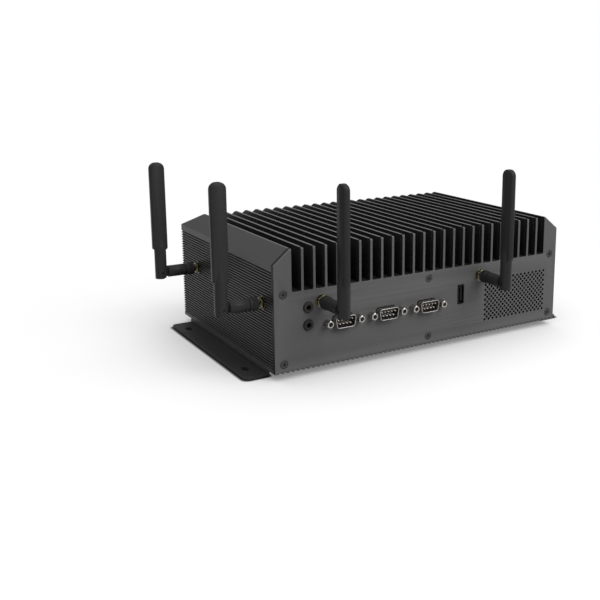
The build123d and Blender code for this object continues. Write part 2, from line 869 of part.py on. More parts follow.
def port_board_link():
    """Flat cable with a plug at each end, from the port board down to the mainboard."""
    low = case_bottom + port_board_bottom
    near = port_board_back
    far = board_front + 5
    section = block(near, near + 5, low + 1, low + 6)
    section += block(far, far + 5, board_top, board_top + 5)
    section += outline((near + 4, low + 3), (near + 4, low + 4), (far + 1, board_top + 4), (far + 1, board_top + 3))
    return along_x(section, link_x - link_width / 2, link_x + link_width / 2)


def module():
    """Compute module's board."""
    width, depth, thickness = module_size
    return along_z(Pos(*module_centre) * Rectangle(width, depth), module_z, module_z + thickness)


def module_socket():
    """Edge socket under the module's rear side and two posts under its front side."""
    x, y = module_centre
    width, depth, _ = module_size
    rear = y + depth / 2
    body = [along_z(block(x - width / 2 - 1, x + width / 2 + 1, rear - 5, rear + 3), board_top, module_z)]
    post = RegularPolygon(standoff_across / 2, 6, major_radius=False)
    for side in (-1, 1):
        place = Pos(x + side * (width / 2 - 4), y - depth / 2 + 4)
        body.append(along_z(place * post, board_top, module_z))
    return group(body)


def stack(size, low, thickness):
    """Square layer on the module's chip."""
    return along_z(Pos(*module_centre) * Rectangle(size, size), low, low + thickness)


def heat_spreader():
    """Block that carries the chip's heat up to the roof."""
    width, depth, _ = spreader_size
    plate = Rectangle(width, depth)
    plate -= [place * Circle(screw_diameter / 2 + screw_clearance) for place in spreader_screw_places()]
    body = along_z(Pos(*module_centre) * plate, spreader_z, ceiling)
    half = channel_size / 2 + cutout_clearance
    body -= along_y(block(-half, half, middle_high_z - half, ceiling), front_y, cover_rear)
    return body + stack(pedestal_size, pedestal_z, spreader_z - pedestal_z)


def spreader_screw_places():
    """Places of the screws of the heat spreader about its middle."""
    x, y = spreader_screw_spacing
    return [Pos(i * x / 2, j * y / 2) for i in (-1, 1) for j in (-1, 1)]


def spreader_screws():
    """Screws that hold the heat spreader to the roof."""
    one = Pos(0, 0, spreader_z) * Rot(180, 0, 0) * screw(spreader_size[2])
    return group([Pos(*module_centre) * place * one for place in spreader_screw_places()])


def card(size, centre, chips):
    """Plug-in card with its chips on top."""
    width, depth = size
    body = along_z(Pos(*centre) * Rectangle(width, depth), card_z, card_z + card_thickness)
    top = card_z + card_thickness
    for offset, length in chips:
        chip = Pos(centre[0], centre[1] + offset) * Rectangle(width - 6, length)
        body += along_z(chip, top, top + card_chip_height)
    return body


def card_sockets():
    """Edge sockets at the rear ends of the two cards."""
    pieces = []
    for (width, depth), (x, y) in ((drive_size, drive_centre), (radio_size, radio_centre)):
        rear = y + depth / 2
        low = block(x - width / 2, x + width / 2, rear - 3, rear + 4)
        tall = block(x - width / 2, x + width / 2, rear + 0.1, rear + 4)
        pieces.append(along_z(low, board_top, card_z) + along_z(tall, card_z, card_z + 2))
    return group(pieces)


def card_posts():
    """Posts under the front ends of the two cards."""
    pieces = []
    for (_, depth), (x, y) in ((drive_size, drive_centre), (radio_size, radio_centre)):
        pieces.append(along_z(Pos(x, y - depth / 2 + 3) * Circle(2.5), board_top, card_z))
    return group(pieces)


def coin_cell():
    """Clock battery in its holder."""
    low = board_top + 1
    return along_z(Pos(*cell_centre) * Circle(cell_diameter / 2), low, low + cell_thickness)


def cell_holder():
    """Holder of the clock battery, open above."""
    outer = cell_diameter / 2 + 1.5
    body = along_z(Pos(*cell_centre) * Circle(outer), board_top, board_top + 1 + cell_thickness)
    inner = Pos(*cell_centre) * Circle(cell_diameter / 2 + thread_clearance)
    return body - along_z(inner, board_top + 1, board_top + 1 + cell_thickness)


def lead_plug_places():
    """X and Y of the four lead plugs on the radio card."""
    x, y = radio_centre
    return [(x + (i - 1.5) * lead_plug_pitch, y - radio_size[1] / 2 + 8) for i in range(4)]


def aerial_lead(points):
    """Thin round lead through the given points, each corner rounded as far as its runs allow."""
    corners = [Vector(*point) for point in points]
    runs = [b - a for a, b in zip(corners, corners[1:])]
    radii = []
    for before, after in zip(runs, runs[1:]):
        half_turn = radians(before.get_angle(after)) / 2
        radii.append(0.45 * min(before.length, after.length) / tan(half_turn))
    path = FilletPolyline(*corners, radius=radii)
    return sweep(Plane(path @ 0, z_dir=path % 0) * Circle(lead_diameter / 2), path)


def aerial_leads():
    """Leads from the four sockets to the plugs on the radio card."""
    plugs = lead_plug_places()
    top = card_z + card_thickness + card_chip_height + lead_plug_height
    side_tail = wall + socket_flange_thickness + socket_tail_length - half_width
    front_tail = front_y + front_thickness + socket_flange_thickness + socket_tail_length
    z = aerial_z
    rear_side, front_side = side_aerials_y
    left, right = front_aerials_x
    routes = [
        [(side_tail, rear_side, z), (-103, rear_side, z), (-93, 30, z - 10), (-84, 8, z - 17)],
        [(side_tail, front_side, z), (-106, front_side, z), (-98, -50, z - 6), (-88, -28, z - 14)],
        [(left, front_tail, z), (left, -60, z), (-84, -42, z - 7), (-78, -24, z - 14)],
        [(right, front_tail, z), (right, -61, z), (20, -50, z - 4), (-24, -44, z - 10), (-58, -28, z - 16)],
    ]
    leads = []
    for route, (x, y) in zip(routes, plugs):
        leads.append(aerial_lead([*route, (x, y, top + 8), (x, y, top)]))
    return leads


def radio_card():
    """Radio card with its shield can and four lead plugs."""
    body = card(radio_size, radio_centre, [(0, radio_size[1] - 8)])
    low = card_z + card_thickness + card_chip_height
    for x, y in lead_plug_places():
        body += along_z(Pos(x, y) * Circle(lead_plug_diameter / 2), low, low + lead_plug_height)
    return body


def build_pieces():
    """All pieces by name, about the middle of the case."""
    pieces = {
        "heatsink_cover": heatsink_cover(),
        "bottom_cover": bottom_cover(),
        "front_panel": front_panel(),
        "rear_panel": rear_panel(),
        "right_bracket": bracket(),
        "left_bracket": mirror(bracket(), about=Plane.YZ),
        "bracket_screws": bracket_screws(),
        "front_panel_screws": front_screws(),
        "rear_panel_screws": rear_screws(),
        "com_port_shells": at_com_ports([com_shell()]),
        "com_port_inserts": at_com_ports([com_insert()]),
        "com_port_pins": at_com_ports(com_pins()),
        "com_port_jackscrews": at_com_ports([Pos(side, 0, 0) * jackscrew() for side in com_sides]),
        "hdmi_shell": hdmi_shell(),
        "hdmi_tongue": hdmi_tongue(),
        "audio_jacks": audio_jacks(),
        "antenna_sockets": aerial_sockets(),
        "antenna_washers": group([place * aerial_washer() for place in aerial_places()]),
        "antenna_nuts": group([place * aerial_nut() for place in aerial_places()]),
        "antenna_couplings": group([place * aerial_coupling() for place in aerial_places()]),
        "network_jacks": on_board_rear([network_jack()], network_jacks_x),
        "usb_shells": on_board_rear([usb_shell()], usb_x),
        "usb_tongues": on_board_rear([usb_tongue_piece(z) for z in usb_mouths()], usb_x),
        "supply_terminal": on_board_rear([supply_terminal()], [terminal_x]),
        "light_pipes": on_board_rear([light_pipe()], light_pipes_x),
        "power_button": power_button(),
        "power_button_bezel": button_bezel(),
        "power_switch": power_switch(),
        "mainboard": mainboard(),
        "board_standoffs": board_standoffs(),
        "board_screws": board_screws(),
        "port_board": port_board(),
        "port_board_link": port_board_link(),
        "compute_module": module(),
        "module_socket": module_socket(),
        "module_chip": stack(chip_size[0], chip_z, chip_size[2]),
        "thermal_pad": stack(chip_size[0], pad_z, pad_thickness),
        "heat_spreader": heat_spreader(),
        "spreader_screws": spreader_screws(),
        "drive_card": card(drive_size, drive_centre, [(-20, 18), (14, 26)]),
        "radio_card": radio_card(),
        "card_sockets": card_sockets(),
        "card_posts": card_posts(),
        "coin_cell": coin_cell(),
        "cell_holder": cell_holder(),
        "aerial_leads": group(aerial_leads()),
    }
    for number, place in enumerate(aerial_places(), start=1):
        pieces[f"antenna_{number}_sleeve"] = place * aerial_sleeve()
        pieces[f"antenna_{number}_hinge_pin"] = place * hinge_pin()
        pieces[f"antenna_{number}_whip"] = place * aerial_whip()
    return pieces


os.makedirs("parts", exist_ok=True)
for name, piece in build_pieces().items():
    export_step(Pos(shift_x, shift_y, 0) * piece, f"parts/{name}.step")
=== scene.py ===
"""Dresses a fanless edge computer: anodised extrusion, perforated front panel, ports and blade antennas.

Lengths in the functions are millimetres about the middle of the case, with Z up from the table.
place() turns them into the frame's metres.
"""

import json
from math import cos, pi, radians, sin, tan

import bmesh
import bpy
import numpy as np
from mathutils import Matrix, Vector
from mathutils.geometry import tessellate_polygon


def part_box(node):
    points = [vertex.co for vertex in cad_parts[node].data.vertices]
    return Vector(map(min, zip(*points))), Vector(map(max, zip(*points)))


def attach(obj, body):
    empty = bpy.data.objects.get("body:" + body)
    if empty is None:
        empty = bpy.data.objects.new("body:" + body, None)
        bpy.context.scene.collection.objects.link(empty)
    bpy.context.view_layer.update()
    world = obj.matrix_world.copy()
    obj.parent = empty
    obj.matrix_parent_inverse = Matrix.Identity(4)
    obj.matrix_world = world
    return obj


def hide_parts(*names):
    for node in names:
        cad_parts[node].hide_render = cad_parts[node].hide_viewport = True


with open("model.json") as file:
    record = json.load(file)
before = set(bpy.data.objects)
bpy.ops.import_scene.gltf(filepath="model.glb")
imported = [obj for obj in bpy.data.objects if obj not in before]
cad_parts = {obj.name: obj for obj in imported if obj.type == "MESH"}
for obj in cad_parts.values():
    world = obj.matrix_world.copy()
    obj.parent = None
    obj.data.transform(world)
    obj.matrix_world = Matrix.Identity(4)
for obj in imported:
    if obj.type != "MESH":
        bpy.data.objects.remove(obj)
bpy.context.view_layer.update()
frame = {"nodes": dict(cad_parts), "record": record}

bl_info = {
    "name": "Fanless Edge Computer",
    "version": (1, 0, 0),
    "blender": (4, 5, 0),
    "location": "View3D > Sidebar > Edge Computer",
    "description": "Surfaces, finishes and stage of a finned fanless computer with four hinged antennas",
    "category": "Object",
}

MM = 0.001


def in_mm(corner):
    """A corner of the frame in millimetres."""
    return [value / MM for value in corner]


PANEL_LOW, PANEL_HIGH = map(in_mm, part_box("front_panel"))
COVER_BACK = in_mm(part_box("heatsink_cover")[1])[1]
MIDDLE = np.array([(PANEL_LOW[0] + PANEL_HIGH[0]) / 2, (PANEL_LOW[1] + COVER_BACK) / 2, 0.0])
HALF_WIDTH = (PANEL_HIGH[0] - PANEL_LOW[0]) / 2
HALF_DEPTH = (COVER_BACK - PANEL_LOW[1]) / 2
FRONT = -HALF_DEPTH
PANEL_BACK = FRONT + PANEL_HIGH[1] - PANEL_LOW[1]
BOTTOM, TOP = PANEL_LOW[2], PANEL_HIGH[2]
JOINTS = {joint["name"]: joint for joint in frame["record"]["behaviour"]["joints"]}
ANTENNAS = (1, 2, 3, 4)
FRONT_ANTENNAS = (3, 4)

# Lengths that count as nothing, and the distance in metres within which points are welded
TINY = 1e-9
SAME_POINT = 1e-6
WELD = 2e-7
# Least scale of a mitre, so that a sharp corner doesn't run away
SHARPEST_MITRE = 0.3
# Turn in degrees below which the faces of a CAD node are one flat face
FLAT_TURN = 0.3

# Front panel: corner radii, the notch between two teeth as X and share of its depth,
# rings along the fins' nose, and holes. A face whose normal has less than SAWN_NORMAL along Y is sawn, and
# darkened as painted shade.
PLATE_CORNER = 0.12
SLOT_CORNERS = (0.3, 0.8, 0.8, 0.3)
NOTCH = np.array([(-1.05, 0), (-0.65, 0.45), (-0.55, 1), (0.55, 1), (0.65, 0.45), (1.05, 0)])
NOSE_STEPS = np.array([0.3, 0.5, 0.75, 1.0])
SAWN_NORMAL = 0.2
LOWEST_VENT_ROW = 10.49
VENT_MIDDLE = 83.4
COUNTERBORE = 5.9
DISPLAY_GAP = 0.3
DISPLAY_CORNER = 0.5
AUDIO_HOLE = 7.7
SOCKET_HOLE = 6.7
# Cover: the depth of the side wall that holds its grooves, how far behind its face and below the gaps'
# floor the faces darkened as painted shade start, how far below the fins' tops they end, and the tops' own
# margin
GROOVE_REACH = 1.2
BEHIND_FACE = 0.02
BELOW_FLOOR = 0.5
PAINTED_SHADE_END = 0.3
TOP_MARGIN = 0.05

# Nine-pin ports: cut-out's width, height and corner, pins, and standoffs with their threaded bore
PORT_CUTOUT = (17.5, 9.0, 2.3)
PORT_LEAN = radians(10)
PIN_RADIUS = 0.5
PIN_PITCH = 2.77
PIN_ROWS = ((5, 1.42), (4, -1.42))
JACKSCREW_SIDES = (-12.495, 12.495)
JACKSCREW_HOLE = 3.1
JACKSCREW_ACROSS = 4.8
JACKSCREW_SHANK = 2.8
JACKSCREW_CHAMFER = 0.2
# Distance from the end and greatest radius there
JACKSCREW_END = ((0.4, 4.8), (0.2, 2.36), (0.0, 2.12))
JACKSCREW_MOUTH = 1.7
BORE_START = 0.25
BORE_RADIUS = 1.42
BORE_THREAD = 0.13
BORE_PITCH = 0.635
BORE_STEP = 0.08
BORE_RINGS = 58

# Screws and their cross recess
HEAD_DIAMETER = 5.5
HEAD_HEIGHT = 1.8
SHANK_RADIUS = 1.5
SHANK_CHAMFER = 0.3
DOME_RINGS = 7
RIM_DROP = 0.2
RIM_INSET = 0.15
NEARLY_ONE = 0.999
CROSS_REACH = 1.45
CROSS_HALF_WIDTH = 0.42
CROSS_DEPTH = 1.0
CROSS_TIP = 0.15
CROSS_TAPER = 0.72

# Antenna sockets, washers, nuts and couplings, from the wall outwards
CASE_WALL = 4.0
FLANGE_THICKNESS = 1.6
FLANGE_RADIUS = 3.8
TAIL_LENGTH = 5.0
TAIL_RADIUS = 1.8
SOCKET_REACH = 8.0
SOCKET_CHAMFER = 0.3
THREAD_START = -3.0
THREAD_MARGIN = 0.1
THREAD_STEPS = 8
THREAD_DEPTH = 0.34
WASHER_THICKNESS = 0.6
NUT_END = 2.8
NUT_BORE = 6.45
# Chamfer and end face's radius as shares of the nut's width
NUT_CHAMFER = 0.08
NUT_FACE = 0.47
COUPLING_END = 10.5
COUPLING_RADIUS = 4.8
COUPLING_PROFILE = np.array([
    (4.7, 3.25), (4.7, 4.4), (4.95, 4.65), (5.3, 4.65), (5.35, 4.8), (5.5, 4.8), (6.5, 4.8), (7.6, 4.8),
    (8.7, 4.8), (8.85, 4.8), (8.9, 4.6), (9.5, 4.6), (10.1, 4.6), (10.5, 4.4), (10.5, 2.55), (9.0, 2.55),
    (9.0, 3.25),
])
KNURL_BAND = (5.35, 8.85)
KNURL_FADE = 0.15
KNURL_DEPTH = 0.24
KNURL_POWER = 0.7
KNURL_STEPS = 8

# Stage, in metres: floor, its paper's share of light given back, the reach of its two shadows, the
# distances between which it fades to plain white, and the camera and lamps
WHITE = (1, 1, 1, 1)
FLOOR_REACH = 4.0
PAPER = 0.35
WIDE_SHADOW = 0.4
CONTACT_SHADOW = 0.003
FADE = (0.15, 0.45)
CAMERA_SPOT = (-0.3615, -0.58498, 0.21859)
CAMERA_SHIFT = (-0.15332, -0.09826)
LAMP_AIM = (0, 0, 0.04)
# Surround: the rises between which it brightens and its share of light below them, as it lights things
# and as gloss sees it
DOME_RISE, DOME_LEAST = 0.1, 0.04
CEILING_RISE, CEILING_LEAST = (0.25, 0.8), 0.12
# Powers that shape the floor's wide and contact shadow, the wide one's least, and the open floor's level
WIDE_POWER, WIDE_LEAST = 0.8, 0.45
CONTACT_POWER, FLOOR_LEVEL = 9.0, 0.475


def linear(code):
    """Linear colour of an sRGB hex code."""
    parts = [int(code[i:i + 2], 16) / 255 for i in (1, 3, 5)]
    return tuple(c / 12.92 if c <= 0.04045 else ((c + 0.055) / 1.055) ** 2.4 for c in parts)


def length(label, text, value):
    """A length property, given in millimetres."""
    return bpy.props.FloatProperty(
        name=label, description=text, default=value * MM, unit="LENGTH", precision=5
    )


def number_of(label, text, value):
    """A property that counts something."""
    return bpy.props.IntProperty(name=label, description=text, default=value)


def colour(label, text, code):
    """A colour property, given as an sRGB hex code."""
    return bpy.props.FloatVectorProperty(
        name=label, description=text, default=linear(code), subtype="COLOR", size=3, min=0, max=1
    )


class PanelSizes(bpy.types.PropertyGroup):
    """Sizes of the comb-shaped front panel and its openings."""

    fin_count: number_of("Fins", "Fins between the shoulders", 24)
    fin_pitch: length("Fin pitch", "Distance from fin to fin", 9.04)
    fin_gap: length("Fin gap", "Clear width between two fins", 7.2)
    fin_height: length("Fin height", "Depth of the gaps below the top", 29.7)
    bevel_width: length("Shoulder width", "Width of the shoulder bevel", 12.1)
    bevel_height: length("Shoulder height", "Height of the shoulder bevel", 10.0)
    nose: length("Fin nose", "Radius on the front upper corner of the comb", 1.3)
    rib_count: number_of("Rib grooves", "Grooves in the lower edge", 63)
    rib_pitch: length("Rib pitch", "Distance between the grooves of the lower edge", 3.92)
    rib_depth: length("Rib depth", "Depth of the grooves of the lower edge", 1.2)
    vent_rows: number_of("Vent rows", "Rows of vent holes", 17)
    vent_holes: number_of("Vent holes", "Holes in a long row", 16)
    vent_row: length("Row spacing", "Height from row to row", 1.97)
    vent_pitch: length("Hole pitch", "Distance between holes in a row", 3.95)
    vent_diameter: length("Hole diameter", "Diameter of a vent hole", 2.0)
    edge: length("Edge break", "Radius on the edges of the panel", 0.25)


class AntennaSizes(bpy.types.PropertyGroup):
    """Sizes of an antenna's socket, nuts and knurling."""

    thread: length("Thread", "Outer diameter of the socket's thread", 6.35)
    thread_pitch: length("Thread pitch", "Pitch of the socket's thread", 0.7)
    nut: length("Nut", "Width of the nut across its flats", 8.0)
    washer: length("Washer", "Outer diameter of the washer", 9.4)
    coupling: length("Coupling", "Diameter of the knurled coupling nut", 9.6)
    knurls: number_of("Knurls", "Grooves round the coupling nut", 40)


class FinishColours(bpy.types.PropertyGroup):
    """Colours of the finishes."""

    body: colour("Body", "Black anodised extrusion", "#464646")
    panel: colour("Panel", "Grey anodised panels", "#5a5a5a")
    bracket: colour("Bracket", "Powder-coated brackets", "#2d2d2d")
    antenna: colour("Antenna", "Moulded antennas", "#303030")
    plating: colour("Plating", "Gold plating of the antenna sockets", "#6b6552")
    nickel: colour("Nickel", "Nickel plating of ports and standoffs", "#aeaca8")


class StageSettings(bpy.types.PropertyGroup):
    """Camera and light levels."""

    azimuth: bpy.props.FloatProperty(
        name="Azimuth", description="Direction of view, turned from the rear towards the right",
        default=radians(33.185), subtype="ANGLE",
    )
    elevation: bpy.props.FloatProperty(
        name="Elevation", description="Downward angle of view", default=radians(11.986), subtype="ANGLE"
    )
    roll: bpy.props.FloatProperty(
        name="Roll", description="Turn about the line of view", default=radians(0.393), subtype="ANGLE"
    )
    lens: bpy.props.FloatProperty(
        name="Lens", description="Focal length", default=53.62, subtype="DISTANCE_CAMERA"
    )
    key: bpy.props.FloatProperty(name="Key light", description="Power of the right softbox", default=17.5)
    fill: bpy.props.FloatProperty(name="Fill light", description="Power of the left softbox", default=0.15)
    sky: bpy.props.FloatProperty(name="Sky", description="Strength of the surround overhead", default=1.3)


def place(points):
    """Millimetres about the case's middle to the frame's metres."""
    return (np.asarray(points, float) + MIDDLE) * MM


def linked(name, data):
    """A new object of the scene, with its data."""
    made = bpy.data.objects.new(name, data)
    bpy.context.scene.collection.objects.link(made)
    return made


def mesh_object(name, shape, slot, node, smooth=35.0):
    """Makes a fixed piece of a shape's points and faces, in place of a CAD node."""
    points, faces = shape
    mesh = bpy.data.meshes.new(name)
    mesh.from_pydata(place(points).tolist(), [], faces)
    return finish_piece(name, mesh, "root", slot, node, smooth)


def finish_piece(name, mesh, body, slot, node, smooth):
    """Welds a mesh, turns its faces outwards, smooths it below an angle, gives it its slot's finish, hangs
    it on its body and hides the CAD node.
    """
    shape = bmesh.new()
    shape.from_mesh(mesh)
    bmesh.ops.remove_doubles(shape, verts=shape.verts, dist=WELD)
    bmesh.ops.dissolve_degenerate(shape, edges=shape.edges, dist=WELD / 2)
    bmesh.ops.recalc_face_normals(shape, faces=shape.faces)
    shape.to_mesh(mesh)
    shape.free()
    mesh.shade_smooth()
    mesh.set_sharp_from_angle(angle=radians(smooth))
    piece = linked(name, mesh)
    mesh.materials.append(bpy.data.materials[SLOT_FINISHES[slot]])
    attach(piece, body)
    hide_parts(node)
    return piece


def vectors(items, name):
    """A vector of each vertex or face of a mesh, as an array."""
    values = np.zeros(len(items) * 3)
    items.foreach_get(name, values)
    return values.reshape(-1, 3)


def sort_faces(piece, finishes, kinds):
    """Adds finishes to a piece and sorts its faces among them. Kind 0 is the finish it has."""
    for name in finishes:
        piece.data.materials.append(bpy.data.materials[name])
    piece.data.polygons.foreach_set("material_index", kinds.astype(np.int32))


def grid_faces(rows, columns, closed_rows):
    """Quads of a grid whose columns run round and whose rows may close on themselves."""
    row = np.arange(rows if closed_rows else rows - 1)
    i, j = np.meshgrid(row, np.arange(columns), indexing="ij")
    i2, j2 = (i + 1) % rows, (j + 1) % columns
    quads = np.stack([i * columns + j, i * columns + j2, i2 * columns + j2, i2 * columns + j], -1)
    return quads.reshape(-1, 4).tolist()


def rounded(corners, radius, steps=4):
    """Outline whose corners are arcs.

    Each arc's centre lies on the corner's bisector, at the radius over the sine of half the corner's angle.
    """
    corner = np.asarray(corners, float)
    radius = np.broadcast_to(np.asarray(radius, float), len(corner))
    before = np.roll(corner, 1, 0) - corner
    after = np.roll(corner, -1, 0) - corner
    before /= np.linalg.norm(before, axis=1)[:, None]
    after /= np.linalg.norm(after, axis=1)[:, None]
    half = np.arccos(np.clip((before * after).sum(1), -1, 1)) / 2
    middle = before + after
    middle /= np.maximum(np.linalg.norm(middle, axis=1), TINY)[:, None]
    centre = corner + middle * (radius / np.sin(half))[:, None]
    first = corner + before * (radius / np.tan(half))[:, None] - centre
    last = corner + after * (radius / np.tan(half))[:, None] - centre
    angle = np.arctan2(first[:, 1], first[:, 0])
    turn = np.arctan2(last[:, 1], last[:, 0]) - angle
    turn = (turn + pi) % (2 * pi) - pi
    angles = angle[:, None] + turn[:, None] * np.linspace(0, 1, steps + 1)
    arcs = centre[:, None] + radius[:, None, None] * np.stack([np.cos(angles), np.sin(angles)], -1)
    flat = arcs.reshape(-1, 2)
    apart = np.linalg.norm(flat - np.roll(flat, 1, 0), axis=1) > SAME_POINT
    return flat[apart]


def whole_turn(segments):
    """Even steps of angle round a circle."""
    return np.linspace(0, 2 * pi, segments, endpoint=False)


def circle(x, y, diameter, segments=24):
    """Round outline."""
    angle = whole_turn(segments)
    return np.stack([x + diameter / 2 * np.cos(angle), y + diameter / 2 * np.sin(angle)], -1)


def oriented(loop, outer):
    """The outline turned counterclockwise if it is an outer one, and clockwise if it is a hole."""
    x, y = loop.T
    area = (x * np.roll(y, -1) - y * np.roll(x, -1)).sum()
    return loop if (area > 0) == outer else loop[::-1]


def moved_in(loop, distance):
    """The outline moved into the material.

    Each point goes along its mitre by the distance over the cosine of half the turn.
    """
    edge = np.roll(loop, -1, 0) - loop
    edge /= np.linalg.norm(edge, axis=1)[:, None]
    normal = np.stack([-edge[:, 1], edge[:, 0]], -1)
    mitre = normal + np.roll(normal, 1, 0)
    scale = 1 + (normal * np.roll(normal, 1, 0)).sum(1)
    return loop + distance * mitre / np.maximum(scale, SHARPEST_MITRE)[:, None]


def prism(outer, holes, low, high, edge, between):
    """An outline carried along Y from low to high, with its rims rounded.

    Near each end the outline moves in on a quarter circle. The two ends are filled round the holes.
    Returns points and faces.
    """
    loops = [oriented(outer, True)] + [oriented(hole, False) for hole in holes]
    start = [(low + edge * (1 - cos(a)), edge * (1 - sin(a))) for a in np.linspace(0, pi / 2, 3)]
    end = [(high - (depth - low), inset) for depth, inset in start[::-1]]
    stations = start + [(depth, 0.0) for depth in between] + end
    rings = [np.concatenate([moved_in(loop, inset) for loop in loops]) for _, inset in stations]
    count = len(rings[0])
    flat = np.concatenate(rings)
    depth = np.repeat([station[0] for station in stations], count)
    points = np.column_stack([flat[:, 0], depth, flat[:, 1]])
    faces, offset = [], 0
    for size in map(len, loops):
        i, j = np.meshgrid(np.arange(len(stations) - 1), np.arange(size), indexing="ij")
        near, far = i * count + offset, (i + 1) * count + offset
        quads = np.stack([near + j, near + (j + 1) % size, far + (j + 1) % size, far + j], -1)
        faces += quads.reshape(-1, 4).tolist()
        offset += size
    for ring, first in ((rings[0], 0), (rings[-1], count * (len(stations) - 1))):
        cuts = np.split(ring, np.cumsum([len(loop) for loop in loops])[:-1])
        triangles = tessellate_polygon([[Vector((x, y, 0)) for x, y in cut] for cut in cuts])
        faces += [[first + k for k in triangle] for triangle in triangles]
    return points, faces


def turned(profile, segments=48, ripple=None):
    """A profile of (x, r) turned about X: points (x, r cos t, r sin t).

    ripple(x, t) adds to r where it isn't zero. A profile that starts and ends on the axis is a solid,
    and any other closes on itself as a ring.
    """
    x, r = np.asarray(profile, float).T
    angle = whole_turn(segments)
    radius = np.repeat(r[:, None], segments, 1)
    if ripple is not None:
        radius = radius + ripple(x[:, None], angle[None, :]) * (radius > TINY)
    return stacked(list(zip(x, radius)), angle, ring=r[0] > TINY and r[-1] > TINY)


def stacked(rows, angle, ring=False):
    """Rings joined in order, the last to the first where they close on themselves.

    A row holds an X and a radius, and each is one number or a value for each angle.
    """
    x, radius = [np.stack([np.broadcast_to(row[k], angle.shape) for row in rows]) for k in (0, 1)]
    points = np.stack([x, radius * np.cos(angle), radius * np.sin(angle)], -1)
    return points.reshape(-1, 3), grid_faces(len(rows), len(angle), ring)


def climbing_wave(along, angle, pitch):
    """Triangle wave between 0 and 1 that climbs one pitch a turn, as a thread does."""
    return np.abs(((along / pitch + angle / (2 * pi)) % 1) * 2 - 1)


def joined(shapes):
    """Several sets of points and faces as one."""
    points, faces, start = [], [], 0
    for some_points, some_faces in shapes:
        points.append(some_points)
        faces += [[start + k for k in face] for face in some_faces]
        start += len(some_points)
    return np.concatenate(points), faces


def shifted(shape, offset, turn=None):
    """A shape turned by a 3 x 3 matrix and then moved."""
    points, faces = shape
    if turn is not None:
        points = points @ np.asarray(turn).T
    return points + np.asarray(offset, float), faces


# Rotations that send the X axis, along which things are turned, to the way they face
FACING = {
    "front": [[0, 1, 0], [-1, 0, 0], [0, 0, 1]],
    "rear": [[0, -1, 0], [1, 0, 0], [0, 0, 1]],
    "left": [[-1, 0, 0], [0, -1, 0], [0, 0, 1]],
    "down": [[0, 0, 1], [0, 1, 0], [-1, 0, 0]],
}


def rect(left, right, low, high):
    """Corners of a rectangle."""
    return np.array([(left, low), (right, low), (right, high), (left, high)], float)


def centred(count):
    """Whole steps about zero."""
    return np.arange(count) - (count - 1) / 2


def repeated(outline, xs):
    """The points of an outline at each of several X, one copy after another."""
    return np.stack(np.broadcast_arrays(xs[:, None] + outline[:, 0], outline[:, 1]), -1).reshape(-1, 2)


def comb_outline(sizes):
    """Outline of the front panel: notched lower edge, straight sides, bevelled shoulders and the comb."""
    width, height = sizes.bevel_width / MM, sizes.bevel_height / MM
    half_gap, floor = sizes.fin_gap / MM / 2, TOP - sizes.fin_height / MM
    notch = NOTCH * [1, sizes.rib_depth / MM] + [0, BOTTOM]
    slot = np.array([(half_gap, TOP), (half_gap, floor), (-half_gap, floor), (-half_gap, TOP)])
    notches = repeated(notch, centred(sizes.rib_count) * (sizes.rib_pitch / MM))
    slots = repeated(slot, centred(sizes.fin_count + 1)[::-1] * (sizes.fin_pitch / MM))
    left_foot = [(-HALF_WIDTH, BOTTOM)]
    right_side = [(HALF_WIDTH, BOTTOM), (HALF_WIDTH, TOP - height), (HALF_WIDTH - width, TOP)]
    left_shoulder = [(width - HALF_WIDTH, TOP), (-HALF_WIDTH, TOP - height)]
    corners = np.concatenate([left_foot, notches, right_side, slots, left_shoulder])
    radius = np.full(len(corners), PLATE_CORNER)
    first = len(left_foot) + len(notches) + len(right_side)
    radius[first:first + len(slots)] = np.tile(SLOT_CORNERS, sizes.fin_count + 1)
    return rounded(corners, radius, steps=3)


def d_outline(x, z, width, height, corner):
    """Outline of a nine-pin port, its wide side up and its sides leaning by ten degrees."""
    top, bottom = width / 2, width / 2 - height * tan(PORT_LEAN)
    low, high = z - height / 2, z + height / 2
    corners = [(x - bottom, low), (x + bottom, low), (x + top, high), (x - top, high)]
    return rounded(corners, corner, steps=6)


def ports():
    """Middles of the nine-pin ports, from their standoffs' mounts."""
    middles = []
    for number in (1, 2, 3):
        pair = [mount["pos_m"] for mount in frame["record"]["mounts"]
                if mount["name"].startswith(f"port_{number}_")]
        middles.append(np.mean(pair, axis=0) / MM - MIDDLE)
    return middles


def clusters(values, gap=10.0):
    """Middles of groups of sorted values that lie more than gap apart."""
    values = np.sort(values)
    breaks = np.flatnonzero(np.diff(values) > gap) + 1
    return [(part.min() + part.max()) / 2 for part in np.split(values, breaks)]


def screw_middles(node):
    """Middle of each screw of a CAD node, across its axis.

    The node's points are parted where a wide gap opens in X, and then in Y for the upright screws of
    the brackets and in Z for the others.
    """
    points = vectors(frame["nodes"][node].data.vertices, "co") / MM - MIDDLE
    other = 1 if node == "bracket_screws" else 2
    places = []
    for x in clusters(points[:, 0]):
        near = points[np.abs(points[:, 0] - x) < HEAD_DIAMETER]
        places += [(x, value) for value in clusters(near[:, other])]
    return places


def node_box(node):
    """Lowest and highest corner of a CAD node, about the case's middle."""
    low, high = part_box(node)
    return np.array(low) / MM - MIDDLE, np.array(high) / MM - MIDDLE


def vent_outlines(sizes):
    """Round holes in staggered rows, each second row one hole shorter."""
    holes = []
    for row in range(sizes.vent_rows):
        count = sizes.vent_holes - row % 2
        xs = VENT_MIDDLE + centred(count) * sizes.vent_pitch / MM
        z = BOTTOM + LOWEST_VENT_ROW + row * sizes.vent_row / MM
        holes += [circle(x, z, sizes.vent_diameter / MM, segments=14) for x in xs]
    return holes


